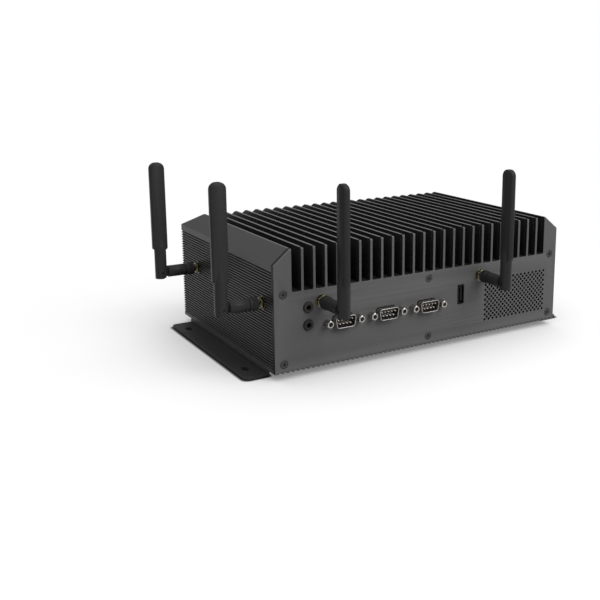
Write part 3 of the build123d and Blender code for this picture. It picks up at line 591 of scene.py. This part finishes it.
def make_front_panel(sizes):
    """Front panel with rounded rims, whose comb's upper front corner follows a quarter circle.

    The sides of its holes and slots are sawn edges darkened as painted shade, and its front and back are
    blasted.
    """
    holes = vent_outlines(sizes)
    screws = screw_middles("front_panel_screws")
    holes += [circle(x, z, COUNTERBORE, segments=40) for x, z in screws]
    for x, _, z in ports():
        holes.append(d_outline(x, z, *PORT_CUTOUT))
        holes += [circle(x + side, z, JACKSCREW_HOLE) for side in JACKSCREW_SIDES]
    low, high = node_box("hdmi_shell")
    low, high = low - DISPLAY_GAP, high + DISPLAY_GAP
    holes.append(rounded(rect(low[0], high[0], low[2], high[2]), DISPLAY_CORNER))
    low, high = node_box("audio_jacks")
    half = (high[0] - low[0]) / 2
    jacks = low[2] + half, high[2] - half
    holes += [circle(low[0] + half, z, AUDIO_HOLE, segments=32) for z in jacks]
    for number in FRONT_ANTENNAS:
        wall, _ = antenna_frame(number)
        holes.append(circle(wall[0], wall[2], SOCKET_HOLE, segments=32))
    nose = sizes.nose / MM
    between = FRONT + nose * NOSE_STEPS
    points, faces = prism(comb_outline(sizes), holes, FRONT, PANEL_BACK, sizes.edge / MM, between)
    into = np.clip(nose - (points[:, 1] - FRONT), 0, nose)
    points[:, 2] = np.minimum(points[:, 2], TOP - nose + np.sqrt(nose ** 2 - into ** 2))
    panel = mesh_object("front_panel_dressed", (points, faces), "anodised_panel", "front_panel")
    # The sawn sides of the outline, holes and slots get a finish darkened as painted shade
    sawn = np.abs(vectors(panel.data.polygons, "normal")[:, 1]) < SAWN_NORMAL
    sort_faces(panel, ["painted_shade_sawn_edge"], sawn)


def hexagon_radius(angle, across):
    """Distance from the middle to a hexagon's side in a direction."""
    return across / 2 / np.cos((angle + pi / 6) % (pi / 3) - pi / 6)


def hexagonal(start, end, across, bore):
    """Hexagonal nut along X, each end of which is cut by a cone of forty-five degrees."""
    chamfer = NUT_CHAMFER * across
    angle = whole_turn(72)
    hexagon = hexagon_radius(angle, across)
    cut = [(step, np.minimum(hexagon, NUT_FACE * across + step)) for step in (0, chamfer / 2, chamfer)]
    rows = [(start, bore / 2)] + [(start + step, radius) for step, radius in cut]
    rows += [(end - step, radius) for step, radius in cut[::-1]]
    return stacked(rows + [(end, bore / 2), (start, bore / 2)], angle)


def cross_radius(angle, reach, half_width):
    """Distance from the middle to the outline of a plus sign."""
    c, s = np.abs(np.cos(angle)) + TINY, np.abs(np.sin(angle)) + TINY
    across = np.minimum(reach / c, half_width / s)
    upright = np.minimum(half_width / c, reach / s)
    return np.maximum(across, upright)


def screw_head(dome):
    """Screw head facing +X: rings from its rim over a dome of a given rise, and down the cross's walls."""
    angle = whole_turn(96) + pi / 4
    cross = cross_radius(angle, CROSS_REACH, CROSS_HALF_WIDTH)
    rim = HEAD_DIAMETER / 2
    steps = np.linspace(0, 1, DOME_RINGS)[:, None]
    bend = rim * (1 - steps) + cross * steps
    levels = HEAD_HEIGHT - dome + dome * np.sqrt(1 - (bend / rim) ** 2 * NEARLY_ONE)
    rows = [(0, 0), (0, rim), (HEAD_HEIGHT - dome - RIM_DROP, rim)]
    rows += [(level, np.minimum(radius, rim - RIM_INSET)) for level, radius in zip(levels, bend)]
    root = HEAD_HEIGHT - CROSS_DEPTH
    rows += [(root, cross * CROSS_TAPER), (root - CROSS_TIP, 0)]
    return stacked(rows, angle)


def make_screws(name, node, face, facing, dome=0.7):
    """Replaces a CAD node's screws by ones with a cross recess, a domed head and a plain shank."""
    low, high = node_box(node)
    axis = 2 if facing == "down" else 1
    end = HEAD_HEIGHT - (high[axis] - low[axis])
    profile = [(end, 0), (end, SHANK_RADIUS - SHANK_CHAMFER), (end + SHANK_CHAMFER, SHANK_RADIUS)]
    profile += [(0, SHANK_RADIUS), (0, 0)]
    screw = joined([screw_head(dome), turned(profile, segments=20)])
    shapes = []
    for a, b in screw_middles(node):
        spot = (a, b, face) if facing == "down" else (a, face, b)
        shapes.append(shifted(screw, spot, FACING[facing]))
    mesh_object(name, joined(shapes), "black_screws", node)


def antenna_frame(number):
    """Wall point of an antenna and the rotation that turns X outwards."""
    joint = JOINTS[f"antenna_{number}_turn"]
    out = np.array(joint["axis"], float)
    wall = np.array(joint["pos_m"]) / MM - MIDDLE - out * COUPLING_END
    return wall, FACING["front" if number in FRONT_ANTENNAS else "left"]


def at_antennas(shape):
    """A shape along X, drawn from the wall outwards, at all four antennas."""
    return joined([shifted(shape, *antenna_frame(number)) for number in ANTENNAS])


def make_sockets(sizes):
    """Threaded sockets: the thread's radius follows a triangle wave that climbs one pitch a turn."""
    pitch, radius = sizes.thread_pitch / MM, sizes.thread / MM / 2
    stations = np.arange(THREAD_START, SOCKET_REACH - THREAD_MARGIN, pitch / THREAD_STEPS)
    angle = whole_turn(40)
    shapes = []
    for number in ANTENNAS:
        wall = PANEL_BACK - FRONT if number in FRONT_ANTENNAS else CASE_WALL
        flange = -wall - FLANGE_THICKNESS
        tail = flange - TAIL_LENGTH
        profile = [(tail, 0), (tail, TAIL_RADIUS), (flange, TAIL_RADIUS), (flange, FLANGE_RADIUS)]
        profile += [(-wall, FLANGE_RADIUS), (-wall, radius)]
        profile += [(x, radius) for x in stations if x > THREAD_MARGIN - wall]
        profile += [(SOCKET_REACH, radius - SOCKET_CHAMFER), (SOCKET_REACH, 0)]
        x, r = np.array(profile).T
        plain = THREAD_MARGIN / 2
        threaded = ((x > plain - wall) & (x < SOCKET_REACH - plain) & (r > TINY))[:, None]
        cut = THREAD_DEPTH * climbing_wave(x[:, None], angle, pitch) * threaded
        shapes.append(shifted(stacked(list(zip(x, r[:, None] - cut)), angle), *antenna_frame(number)))
    mesh_object("threaded_sockets", joined(shapes), "gold", "antenna_sockets")


def make_nuts(sizes):
    """Washers with a broken edge and hexagonal nuts with chamfered corners."""
    outer, thick, broken = sizes.washer / MM / 2, WASHER_THICKNESS, 0.1
    washer = [(0, NUT_BORE / 2), (0, outer - broken), (broken, outer), (thick - broken, outer)]
    washer += [(thick, outer - broken), (thick, NUT_BORE / 2)]
    mesh_object("washers", at_antennas(turned(washer)), "gold", "antenna_washers")
    nut = hexagonal(thick, NUT_END, sizes.nut / MM, NUT_BORE)
    mesh_object("hexagonal_nuts", at_antennas(nut), "gold", "antenna_nuts", smooth=25)


def make_couplings(sizes):
    """Coupling nuts: a band of straight knurls between two turned collars.

    The knurls' radius follows a power of a sine round the nut, and the band fades out at its ends.
    """
    count = sizes.knurls
    profile = COUPLING_PROFILE * [1, sizes.coupling / MM / 2 / COUPLING_RADIUS]
    low, high = KNURL_BAND

    def knurl(along, angle):
        groove = np.abs(np.sin(angle * count / 2)) ** KNURL_POWER - 1
        band = np.clip((along - low) / KNURL_FADE, 0, 1) * np.clip((high - along) / KNURL_FADE, 0, 1)
        return KNURL_DEPTH * groove * band

    shape = at_antennas(turned(profile, count * KNURL_STEPS, knurl))
    mesh_object("knurled_couplings", shape, "antenna_plastic", "antenna_couplings")


def jackscrew(reach, back):
    """Standoff along X: a shank, a hexagon whose end is cut by a cone, and a threaded bore.

    The bore's radius follows a triangle wave that climbs one pitch a turn.
    """
    angle = whole_turn(48)
    hexagon = hexagon_radius(angle, JACKSCREW_ACROSS)
    shank = JACKSCREW_SHANK / 2
    rows = [(-back, 0), (-back, shank - JACKSCREW_CHAMFER), (JACKSCREW_CHAMFER - back, shank)]
    rows += [(0, shank), (0, hexagon)]
    rows += [(reach - inset, np.minimum(hexagon, radius)) for inset, radius in JACKSCREW_END]
    rows.append((reach, JACKSCREW_MOUTH))
    depths = reach - BORE_START - BORE_STEP * np.arange(BORE_RINGS)
    rows += [(x, BORE_RADIUS + BORE_THREAD * climbing_wave(x, angle, BORE_PITCH)) for x in depths]
    return stacked(rows + [(depths[-1], 0)], angle)


def make_jackscrews():
    """Hexagonal standoffs with a chamfered front end and a threaded bore, two at each nine-pin port."""
    low, high = node_box("com_port_jackscrews")
    shape = jackscrew(FRONT - low[1], high[1] - FRONT)
    spots = [(x + side, FRONT, z) for x, _, z in ports() for side in JACKSCREW_SIDES]
    standoffs = joined([shifted(shape, spot, FACING["front"]) for spot in spots])
    mesh_object("standoffs", standoffs, "nickel", "com_port_jackscrews", smooth=30)


def make_pins():
    """Round contact pins with domed tips: the tip's radius follows a quarter circle."""
    low, high = node_box("com_port_pins")
    tip = [(low[1] + PIN_RADIUS * (1 - cos(a)), PIN_RADIUS * sin(a)) for a in np.linspace(0, pi / 2, 5)]
    pin, pin_faces = turned(tip + [(high[1], PIN_RADIUS), (high[1], 0)], segments=14)
    pin = pin[:, [1, 0, 2]]
    shapes = []
    for x, _, z in ports():
        for count, row in PIN_ROWS:
            xs = x + centred(count) * PIN_PITCH
            shapes += [(pin + [pin_x, 0, z + row], pin_faces) for pin_x in xs]
    pins = mesh_object("contact_pins", joined(shapes), "nickel", "com_port_pins")
    pins.data.materials[0] = bpy.data.materials["tinned_pin"]


def dress(node, slot, body="root", bevel=0.1, limit=40.0):
    """A welded copy of a CAD node with smooth round faces and broken edges that catch the light."""
    mesh = frame["nodes"][node].data.copy()
    mesh.materials.clear()
    shape = bmesh.new()
    shape.from_mesh(mesh)
    bmesh.ops.remove_doubles(shape, verts=shape.verts, dist=WELD)
    bmesh.ops.dissolve_limit(shape, angle_limit=radians(FLAT_TURN), verts=shape.verts, edges=shape.edges)
    shape.to_mesh(mesh)
    shape.free()
    piece = finish_piece(f"{node}_dressed", mesh, body, slot, node, smooth=38.0)
    rim = piece.modifiers.new("edge_break", "BEVEL")
    rim.width = bevel * MM
    rim.segments = 2
    rim.limit_method = "ANGLE"
    rim.angle_limit = radians(limit)
    return piece


def sort_cover_faces(cover, sizes):
    """Sorts the cover's faces by finish: fin gaps and side grooves are darkened as painted shade, and fin
    tops lightened as a painted highlight.
    """
    middles = vectors(cover.data.polygons, "center") / MM - MIDDLE
    out, height = np.abs(middles[:, 0]), middles[:, 2]
    among_fins = out < HALF_WIDTH - sizes.bevel_width / MM
    floor, shoulder = TOP - sizes.fin_height / MM, TOP - sizes.bevel_height / MM
    # Faces in the fin gaps and the side grooves are darkened as painted shade
    gaps = among_fins & (height > floor - BELOW_FLOOR) & (height < TOP - PAINTED_SHADE_END)
    grooves = (out > HALF_WIDTH - GROOVE_REACH) & (out < HALF_WIDTH - BEHIND_FACE)
    grooves &= height < shoulder - BELOW_FLOOR
    # Fin tops are lightened as a painted highlight
    tops = among_fins & (height > TOP - TOP_MARGIN)
    kinds = np.where(tops, 2, np.where(gaps | grooves, 1, 0))
    sort_faces(cover, ["painted_shade_recess", "painted_highlight_fin_top"], kinds)


def add(tree, kind, inputs=(), **settings):
    """Adds a node with its settings, and sets or links its inputs."""
    made = tree.nodes.new(kind)
    for key, value in settings.items():
        setattr(made, key, value)
    for key, value in dict(inputs).items():
        if isinstance(value, bpy.types.NodeSocket):
            tree.links.new(value, made.inputs[key])
        else:
            made.inputs[key].default_value = value
    return made


def finish_base(name, metallic=0.0, specular=0.5):
    """Starts a finish: returns its tree, its shader and the object's coordinates."""
    material = bpy.data.materials.new(name)
    material.use_nodes = True
    tree = material.node_tree
    shader = tree.nodes["Principled BSDF"]
    shader.inputs["Metallic"].default_value = metallic
    shader.inputs["Specular IOR Level"].default_value = specular
    return tree, shader, add(tree, "ShaderNodeTexCoord").outputs["Object"]


def vary(tree, shader, pattern, first, second, gloss):
    """Lets a pattern move the colour between two tones and the roughness between two values."""
    tone = add(tree, "ShaderNodeMixRGB", {"Fac": pattern, "Color1": (*first, 1), "Color2": (*second, 1)})
    tree.links.new(tone.outputs["Color"], shader.inputs["Base Color"])
    rough = add(tree, "ShaderNodeMapRange", {"Value": pattern, "To Min": gloss[0], "To Max": gloss[1]})
    tree.links.new(rough.outputs["Result"], shader.inputs["Roughness"])


def relief(tree, shader, pattern, depth):
    """Raises a pattern by a depth in millimetres."""
    bump = add(tree, "ShaderNodeBump", {"Height": pattern, "Distance": depth * MM})
    tree.links.new(bump.outputs["Normal"], shader.inputs["Normal"])


def shade(rgb, factor):
    """A colour made lighter or darker."""
    return tuple(min(1.0, c * factor) for c in rgb)


def grained_finish(
    name, tone, grain, depth, gloss, spread=(0.9, 1.1), metallic=0.0, specular=0.5, detail=2.0
):
    """A finish whose tone, gloss and height follow one noise.

    grain is its size and depth its height in millimetres, gloss the lowest and highest roughness, and
    spread the darkest and lightest share of the tone.
    """
    tree, shader, here = finish_base(name, metallic, specular)
    noise = add(tree, "ShaderNodeTexNoise", {"Vector": here, "Scale": 1 / (grain * MM), "Detail": detail})
    vary(tree, shader, noise.outputs["Fac"], shade(tone, spread[0]), shade(tone, spread[1]), gloss)
    relief(tree, shader, noise.outputs["Fac"], depth)


def extruded_finish(name, body, specular):
    """Black anodised extrusion: faint die lines run along the depth, about half a millimetre apart."""
    tree, shader, here = finish_base(name, specular=specular)
    across, along = 1 / (0.6 * MM), 1 / (90 * MM)
    spread = add(tree, "ShaderNodeMapping", {"Vector": here, "Scale": (across, along, across)})
    lines = add(tree, "ShaderNodeTexNoise", {"Vector": spread.outputs[0], "Scale": 1.0, "Detail": 3.0})
    vary(tree, shader, lines.outputs["Fac"], shade(body, 0.88), shade(body, 1.12), (0.36, 0.5))
    relief(tree, shader, lines.outputs["Fac"], 0.012)


def panel_finish(panel):
    """Bead-blasted and anodised plate: an even matt grit, drawn at 0.35 mm so that it shows."""
    tree, shader, here = finish_base("grey_blasted_anodised_plate", specular=0.2)
    grit = add(tree, "ShaderNodeTexNoise", {"Vector": here, "Scale": 1 / (0.35 * MM), "Detail": 2.0})
    cloud = add(tree, "ShaderNodeTexNoise", {"Vector": here, "Scale": 1 / (60 * MM), "Detail": 2.0})
    vary(tree, shader, cloud.outputs["Fac"], shade(panel, 0.96), shade(panel, 1.04), (0.46, 0.54))
    relief(tree, shader, grit.outputs["Fac"], 0.01)


def shaded_edge_finish(panel):
    """Sawn edge of the plate: fine saw marks across it, darker than its blasted face as painted shade."""
    tree, shader, here = finish_base("painted_shade_sawn_edge", specular=0.1)
    marks = add(tree, "ShaderNodeTexWave", {"Vector": here, "Scale": 1 / (0.8 * MM), "Distortion": 1.5})
    tone = shade(panel, 0.15)
    vary(tree, shader, marks.outputs["Fac"], shade(tone, 0.85), shade(tone, 1.15), (0.45, 0.55))
    relief(tree, shader, marks.outputs["Fac"], 0.004)


def board_finish():
    """Green solder mask over copper: tracks show as slightly raised, lighter cells of about 2 mm."""
    tree, shader, here = finish_base("green_solder_mask")
    tracks = add(tree, "ShaderNodeTexBrick", {"Vector": here, "Scale": 1 / (4 * MM), "Mortar Size": 0.04})
    vary(tree, shader, tracks.outputs["Fac"], linear("#123f28"), linear("#2a6442"), (0.25, 0.4))
    relief(tree, shader, tracks.outputs["Fac"], 0.02)


def milled_finish():
    """Milled aluminium: cutter marks run across as fine bands."""
    tree, shader, here = finish_base("milled_aluminium", metallic=1.0)
    bands = add(tree, "ShaderNodeTexWave", {"Vector": here, "Scale": 1 / (1.5 * MM), "Distortion": 0.4})
    vary(tree, shader, bands.outputs["Fac"], linear("#a9abad"), linear("#c3c5c7"), (0.24, 0.36))
    relief(tree, shader, bands.outputs["Fac"], 0.006)


def clear_finish():
    """Clear moulded light pipe, with a slight haze."""
    tree, shader, here = finish_base("clear_acrylic")
    shader.inputs["Transmission Weight"].default_value = 0.9
    shader.inputs["IOR"].default_value = 1.49
    haze = add(tree, "ShaderNodeTexNoise", {"Vector": here, "Scale": 1 / (1.0 * MM)})
    vary(tree, shader, haze.outputs["Fac"], linear("#dfe4e2"), linear("#f2f4f3"), (0.08, 0.16))


# The finish of each material slot of the record
SLOT_FINISHES = {
    "anodised_body": "black_anodised_extrusion",
    "anodised_panel": "grey_blasted_anodised_plate",
    "coated_steel": "black_powder_coat",
    "black_screws": "black_oxide_steel",
    "nickel": "nickel_plate",
    "gold": "gold_plate",
    "antenna_plastic": "black_satin_moulding",
    "dark_pin": "blackened_steel_pin",
    "black_moulding": "black_connector_moulding",
    "grey_moulding": "grey_ribbon_insulation",
    "green_moulding": "green_terminal_moulding",
    "clear_plastic": "clear_acrylic",
    "circuit_board": "green_solder_mask",
    "pad": "silicone_gap_pad",
    "plain_aluminium": "milled_aluminium",
}


class EdgeComputerFinishes(bpy.types.Operator):
    """Makes every finish and puts it on the CAD nodes"""

    bl_idname = "edge_computer.finishes"
    bl_label = "Finishes"

    def execute(self, context):
        colours = context.scene.edge_computer_colours
        body, panel, bracket = tuple(colours.body), tuple(colours.panel), tuple(colours.bracket)
        extruded_finish("black_anodised_extrusion", body, 0.18)
        # A darker copy of the extrusion, with less specular, as painted shade in the fin gaps and side
        # grooves
        extruded_finish("painted_shade_recess", shade(body, 0.3), 0.08)
        # A copy twice as light, with more specular, as a painted highlight on the fin tops
        extruded_finish("painted_highlight_fin_top", shade(body, 2.0), 0.3)
        panel_finish(panel)
        shaded_edge_finish(panel)
        # Powder-coated steel: a soft orange-peel of about 1.2 mm
        grained_finish(
            "black_powder_coat", bracket, 1.2, 0.02, (0.4, 0.5), (0.92, 1.08), specular=0.3, detail=1.0
        )
        # Moulded thermoplastic, spark-eroded to a fine satin that catches long soft highlights
        antenna = tuple(colours.antenna)
        grained_finish("black_satin_moulding", antenna, 0.4, 0.006, (0.3, 0.4), specular=0.07)
        # Electroplated and blackened metal: bright, with a slight drift in its polish over 1.6 mm
        for name, tone, gloss in (
            ("gold_plate", tuple(colours.plating), (0.12, 0.24)),
            ("nickel_plate", tuple(colours.nickel), (0.2, 0.36)),
            ("blackened_steel_pin", linear("#3a3a3c"), (0.35, 0.5)),
        ):
            grained_finish(name, tone, 1.6, 0.004, gloss, (0.85, 1.1), metallic=1.0, detail=3.0)
        # Moulded plastics of the connectors, ribbon and pad: a fine even grain
        for name, code, gloss in (
            ("black_connector_moulding", "#2e2c2b", (0.45, 0.55)),
            ("grey_ribbon_insulation", "#8f9194", (0.5, 0.6)),
            ("green_terminal_moulding", "#2f6b45", (0.4, 0.5)),
            ("silicone_gap_pad", "#7d8fa6", (0.65, 0.75)),
        ):
            grained_finish(name, linear(code), 0.5, 0.005, gloss, specular=0.2)
        # Bright tin on the contact pins, matt enough to stay pale inside their dark shell
        tin = linear("#d8d3ca")
        grained_finish("tinned_pin", tin, 0.6, 0.003, (0.36, 0.46), (0.9, 1.0), metallic=0.45)
        # Black-oxide screws: a dark conversion coat over turned steel
        oxide = linear("#444444")
        grained_finish(
            "black_oxide_steel", oxide, 0.8, 0.004, (0.32, 0.45), (0.8, 1.25), metallic=0.4, specular=0.2
        )
        board_finish()
        milled_finish()
        clear_finish()
        for part in frame["record"]["subparts"]:
            node = frame["nodes"][part["node"]]
            finish = bpy.data.materials[SLOT_FINISHES[part["material_slot"]]]
            if not node.material_slots:
                node.data.materials.append(finish)
            for socket in node.material_slots:
                socket.material = finish
        return {"FINISHED"}


class EdgeComputerFrontPanel(bpy.types.Operator):
    """Makes the comb-shaped front panel with its vent and port openings"""

    bl_idname = "edge_computer.front_panel"
    bl_label = "Front panel"

    def execute(self, context):
        make_front_panel(context.scene.edge_computer_panel)
        return {"FINISHED"}


class EdgeComputerCovers(bpy.types.Operator):
    """Dresses the extruded covers, the rear panel and the brackets"""

    bl_idname = "edge_computer.covers"
    bl_label = "Covers and brackets"

    def execute(self, context):
        cover = dress("heatsink_cover", "anodised_body", bevel=0.18, limit=55)
        sort_cover_faces(cover, context.scene.edge_computer_panel)
        dress("bottom_cover", "anodised_body", bevel=0.15)
        dress("rear_panel", "anodised_panel", bevel=0.2)
        dress("left_bracket", "coated_steel", bevel=0.3)
        dress("right_bracket", "coated_steel", bevel=0.3)
        return {"FINISHED"}


class EdgeComputerScrews(bpy.types.Operator):
    """Makes the panel and bracket screws with domed heads and cross recesses"""

    bl_idname = "edge_computer.screws"
    bl_label = "Screws"

    def execute(self, context):
        make_screws("front_screws_dressed", "front_panel_screws", FRONT + HEAD_HEIGHT, "front", dome=0.1)
        _, high = node_box("rear_panel")
        make_screws("rear_screws_dressed", "rear_panel_screws", high[1], "rear")
        low, _ = node_box("bracket_screws")
        make_screws("bracket_screws_dressed", "bracket_screws", low[2] + HEAD_HEIGHT, "down")
        return {"FINISHED"}


class EdgeComputerPorts(bpy.types.Operator):
    """Makes the nine-pin ports' standoffs and pins, and dresses the other front ports"""

    bl_idname = "edge_computer.ports"
    bl_label = "Front ports"

    def execute(self, context):
        make_jackscrews()
        make_pins()
        dress("com_port_shells", "nickel", bevel=0.12)
        dress("com_port_inserts", "black_moulding")
        dress("hdmi_shell", "dark_pin")
        dress("hdmi_tongue", "black_moulding")
        dress("audio_jacks", "black_moulding", bevel=0.15)
        return {"FINISHED"}


class EdgeComputerAntennas(bpy.types.Operator):
    """Makes the threaded sockets, nuts and knurled couplings, and dresses the sleeves and blades"""

    bl_idname = "edge_computer.antennas"
    bl_label = "Antennas"

    def execute(self, context):
        sizes = context.scene.edge_computer_antenna
        make_sockets(sizes)
        make_nuts(sizes)
        make_couplings(sizes)
        for number in ANTENNAS:
            swivel, blade = f"antenna_{number}_swivel", f"antenna_{number}_blade"
            dress(f"antenna_{number}_sleeve", "antenna_plastic", swivel, bevel=0.2, limit=50)
            dress(f"antenna_{number}_whip", "antenna_plastic", blade, bevel=0.25, limit=50)
            dress(f"antenna_{number}_hinge_pin", "dark_pin", blade, limit=50)
        return {"FINISHED"}


class EdgeComputerRear(bpy.types.Operator):
    """Dresses the rear connections and the power button"""

    bl_idname = "edge_computer.rear"
    bl_label = "Rear connections"

    def execute(self, context):
        dress("network_jacks", "nickel", bevel=0.2)
        dress("usb_shells", "nickel", bevel=0.15)
        dress("usb_tongues", "black_moulding")
        dress("supply_terminal", "green_moulding", bevel=0.15)
        dress("light_pipes", "clear_plastic", limit=50)
        dress("power_button", "nickel", "button", limit=50)
        dress("power_button_bezel", "nickel", bevel=0.2, limit=50)
        return {"FINISHED"}


def softbox(name, power, size, spot):
    """Square lamp of a side in metres, aimed at the computer."""
    data = bpy.data.lights.new(name, "AREA")
    data.energy = power
    data.size = size
    lamp = linked(name, data)
    lamp.location = spot
    lamp.rotation_euler = (Vector(LAMP_AIM) - Vector(spot)).to_track_quat("-Z", "Y").to_euler()


def white_for_the_camera(tree, lighting, seen):
    """Mixes two shaders: the second is what the camera, gloss and clear things see."""
    path = add(tree, "ShaderNodeLightPath")
    kinds = ("Camera", "Glossy", "Transmission")
    camera, glossy, clear = (path.outputs[f"Is {kind} Ray"] for kind in kinds)
    gloss = add(tree, "ShaderNodeMath", {0: camera, 1: glossy}, operation="MAXIMUM")
    both = add(tree, "ShaderNodeMath", {0: gloss.outputs[0], 1: clear}, operation="MAXIMUM")
    return add(tree, "ShaderNodeMixShader", {0: both.outputs[0], 1: lighting, 2: seen})


def make_surround(sky):
    """White world that lights mostly from overhead.

    Gloss sees it darken towards the horizon, and the camera sees plain white.
    """
    world = bpy.data.worlds.new("white_surround")
    world.use_nodes = True
    bpy.context.scene.world = world
    tree = world.node_tree
    plain = tree.nodes["Background"]
    plain.inputs["Color"].default_value = WHITE
    direction = add(tree, "ShaderNodeTexCoord").outputs["Generated"]
    rise = add(tree, "ShaderNodeSeparateXYZ", {0: direction}).outputs["Z"]
    dome = add(tree, "ShaderNodeMapRange",
               {"Value": rise, "From Min": DOME_RISE, "To Min": DOME_LEAST * sky, "To Max": sky})
    tree.links.new(dome.outputs[0], plain.inputs["Strength"])
    low, high = CEILING_RISE
    ceiling = add(tree, "ShaderNodeMapRange",
                  {"Value": rise, "From Min": low, "From Max": high, "To Min": CEILING_LEAST})
    camera = add(tree, "ShaderNodeLightPath").outputs["Is Camera Ray"]
    level = add(tree, "ShaderNodeMath", {0: camera, 1: ceiling.outputs[0]}, operation="MAXIMUM")
    seen = add(tree, "ShaderNodeBackground", {"Color": WHITE, "Strength": level.outputs[0]})
    mixed = white_for_the_camera(tree, plain.outputs[0], seen.outputs[0])
    tree.links.new(mixed.outputs[0], tree.nodes["World Output"].inputs["Surface"])


def floor_finish():
    """White paper floor.

    Its glow carries a painted shadow: it glows less where the computer shuts out the room, and turns plain
    white further off.
    """
    material = bpy.data.materials.new("white_floor")
    material.use_nodes = True
    tree = material.node_tree
    tree.nodes.remove(tree.nodes["Principled BSDF"])
    paper = add(tree, "ShaderNodeBsdfDiffuse", {"Color": (PAPER, PAPER, PAPER, 1)})
    wide = add(tree, "ShaderNodeAmbientOcclusion", {"Distance": WIDE_SHADOW}, samples=16)
    near = add(tree, "ShaderNodeAmbientOcclusion", {"Distance": CONTACT_SHADOW}, samples=16)
    soft = add(tree, "ShaderNodeMath", {0: wide.outputs["AO"], 1: WIDE_POWER}, operation="POWER")
    open_floor = add(tree, "ShaderNodeMath", {0: soft.outputs[0], 1: WIDE_LEAST}, operation="MAXIMUM")
    tight = add(tree, "ShaderNodeMath", {0: near.outputs["AO"], 1: CONTACT_POWER}, operation="POWER")
    tone = add(tree, "ShaderNodeMath", {0: tight.outputs[0], 1: FLOOR_LEVEL}, operation="MULTIPLY")
    level = add(tree, "ShaderNodeMath", {0: open_floor.outputs[0], 1: tone.outputs[0]},
                operation="MULTIPLY")
    glow = add(tree, "ShaderNodeEmission", {"Color": WHITE, "Strength": level.outputs[0]})
    lit = add(tree, "ShaderNodeBsdfDiffuse", {"Color": tone.outputs[0]})
    close = add(tree, "ShaderNodeAddShader", {0: glow.outputs[0], 1: lit.outputs[0]})
    far = add(tree, "ShaderNodeEmission", {"Color": WHITE, "Strength": 1.0})
    spot = add(tree, "ShaderNodeTexCoord").outputs["Object"]
    away = add(tree, "ShaderNodeVectorMath", {0: spot}, operation="LENGTH")
    fade = add(tree, "ShaderNodeMapRange",
               {"Value": away.outputs["Value"], "From Min": FADE[0], "From Max": FADE[1]})
    bright = add(tree, "ShaderNodeMixShader", {0: fade.outputs[0], 1: close.outputs[0], 2: far.outputs[0]})
    mixed = white_for_the_camera(tree, paper.outputs[0], bright.outputs[0])
    tree.links.new(mixed.outputs[0], tree.nodes["Material Output"].inputs["Surface"])
    return material


def make_floor():
    """Round floor, a disc about the origin."""
    mesh = bpy.data.meshes.new("floor")
    ring = circle(0, 0, 2 * FLOOR_REACH, segments=96)
    points = np.column_stack([ring, np.zeros(len(ring))])
    mesh.from_pydata(points.tolist(), [], [list(range(len(ring)))])
    floor = linked("floor", mesh)
    mesh.materials.append(floor_finish())


def make_camera(stage):
    """Camera at the photograph's viewing angle."""
    data = bpy.data.cameras.new("camera")
    data.sensor_width = 36.0
    data.lens = stage.lens
    data.shift_x, data.shift_y = CAMERA_SHIFT
    data.clip_start = 0.01
    camera = linked("camera", data)
    turn = Matrix.Rotation(-stage.azimuth, 4, "Z") @ Matrix.Rotation(pi / 2 - stage.elevation, 4, "X")
    turn = turn @ Matrix.Rotation(stage.roll, 4, "Z")
    camera.matrix_world = Matrix.Translation(Vector(CAMERA_SPOT)) @ turn
    bpy.context.scene.camera = camera


class EdgeComputerStage(bpy.types.Operator):
    """Makes the white floor, the surrounding light, the lamps and the camera"""

    bl_idname = "edge_computer.stage"
    bl_label = "Stage"

    def execute(self, context):
        stage = context.scene.edge_computer_stage
        context.scene.view_settings.view_transform = "Standard"
        make_surround(stage.sky)
        make_floor()
        softbox("right_softbox", stage.key, size=1.1, spot=(0.45, -1.05, 1.1))
        softbox("left_softbox", stage.fill, size=0.9, spot=(-1.1, -0.5, 0.6))
        make_camera(stage)
        return {"FINISHED"}


OPERATORS = (
    EdgeComputerFinishes, EdgeComputerFrontPanel, EdgeComputerCovers, EdgeComputerScrews, EdgeComputerPorts,
    EdgeComputerAntennas, EdgeComputerRear, EdgeComputerStage,
)


class VIEW3D_PT_edge_computer(bpy.types.Panel):
    """Sidebar panel that lists the pieces in the order they are made"""

    bl_label = "Edge Computer"
    bl_space_type = "VIEW_3D"
    bl_region_type = "UI"
    bl_category = "Edge Computer"

    def draw(self, context):
        for operator in OPERATORS:
            self.layout.operator(operator.bl_idname)


GROUPS = {
    "edge_computer_panel": PanelSizes,
    "edge_computer_antenna": AntennaSizes,
    "edge_computer_colours": FinishColours,
    "edge_computer_stage": StageSettings,
}


def register():
    """Registers the classes and hangs the settings on the scene."""
    for name, group in GROUPS.items():
        bpy.utils.register_class(group)
        setattr(bpy.types.Scene, name, bpy.props.PointerProperty(type=group))
    for operator in OPERATORS:
        bpy.utils.register_class(operator)
    bpy.utils.register_class(VIEW3D_PT_edge_computer)


def unregister():
    """Takes the classes and settings away again."""
    bpy.utils.unregister_class(VIEW3D_PT_edge_computer)
    for operator in reversed(OPERATORS):
        bpy.utils.unregister_class(operator)
    for name, group in GROUPS.items():
        delattr(bpy.types.Scene, name)
        bpy.utils.unregister_class(group)


def main():
    """Makes the pieces in order."""
    register()
    bpy.ops.edge_computer.finishes()
    bpy.ops.edge_computer.front_panel()
    bpy.ops.edge_computer.covers()
    bpy.ops.edge_computer.screws()
    bpy.ops.edge_computer.ports()
    bpy.ops.edge_computer.antennas()
    bpy.ops.edge_computer.rear()
    bpy.ops.edge_computer.stage()


if __name__ == "__main__":
    main()
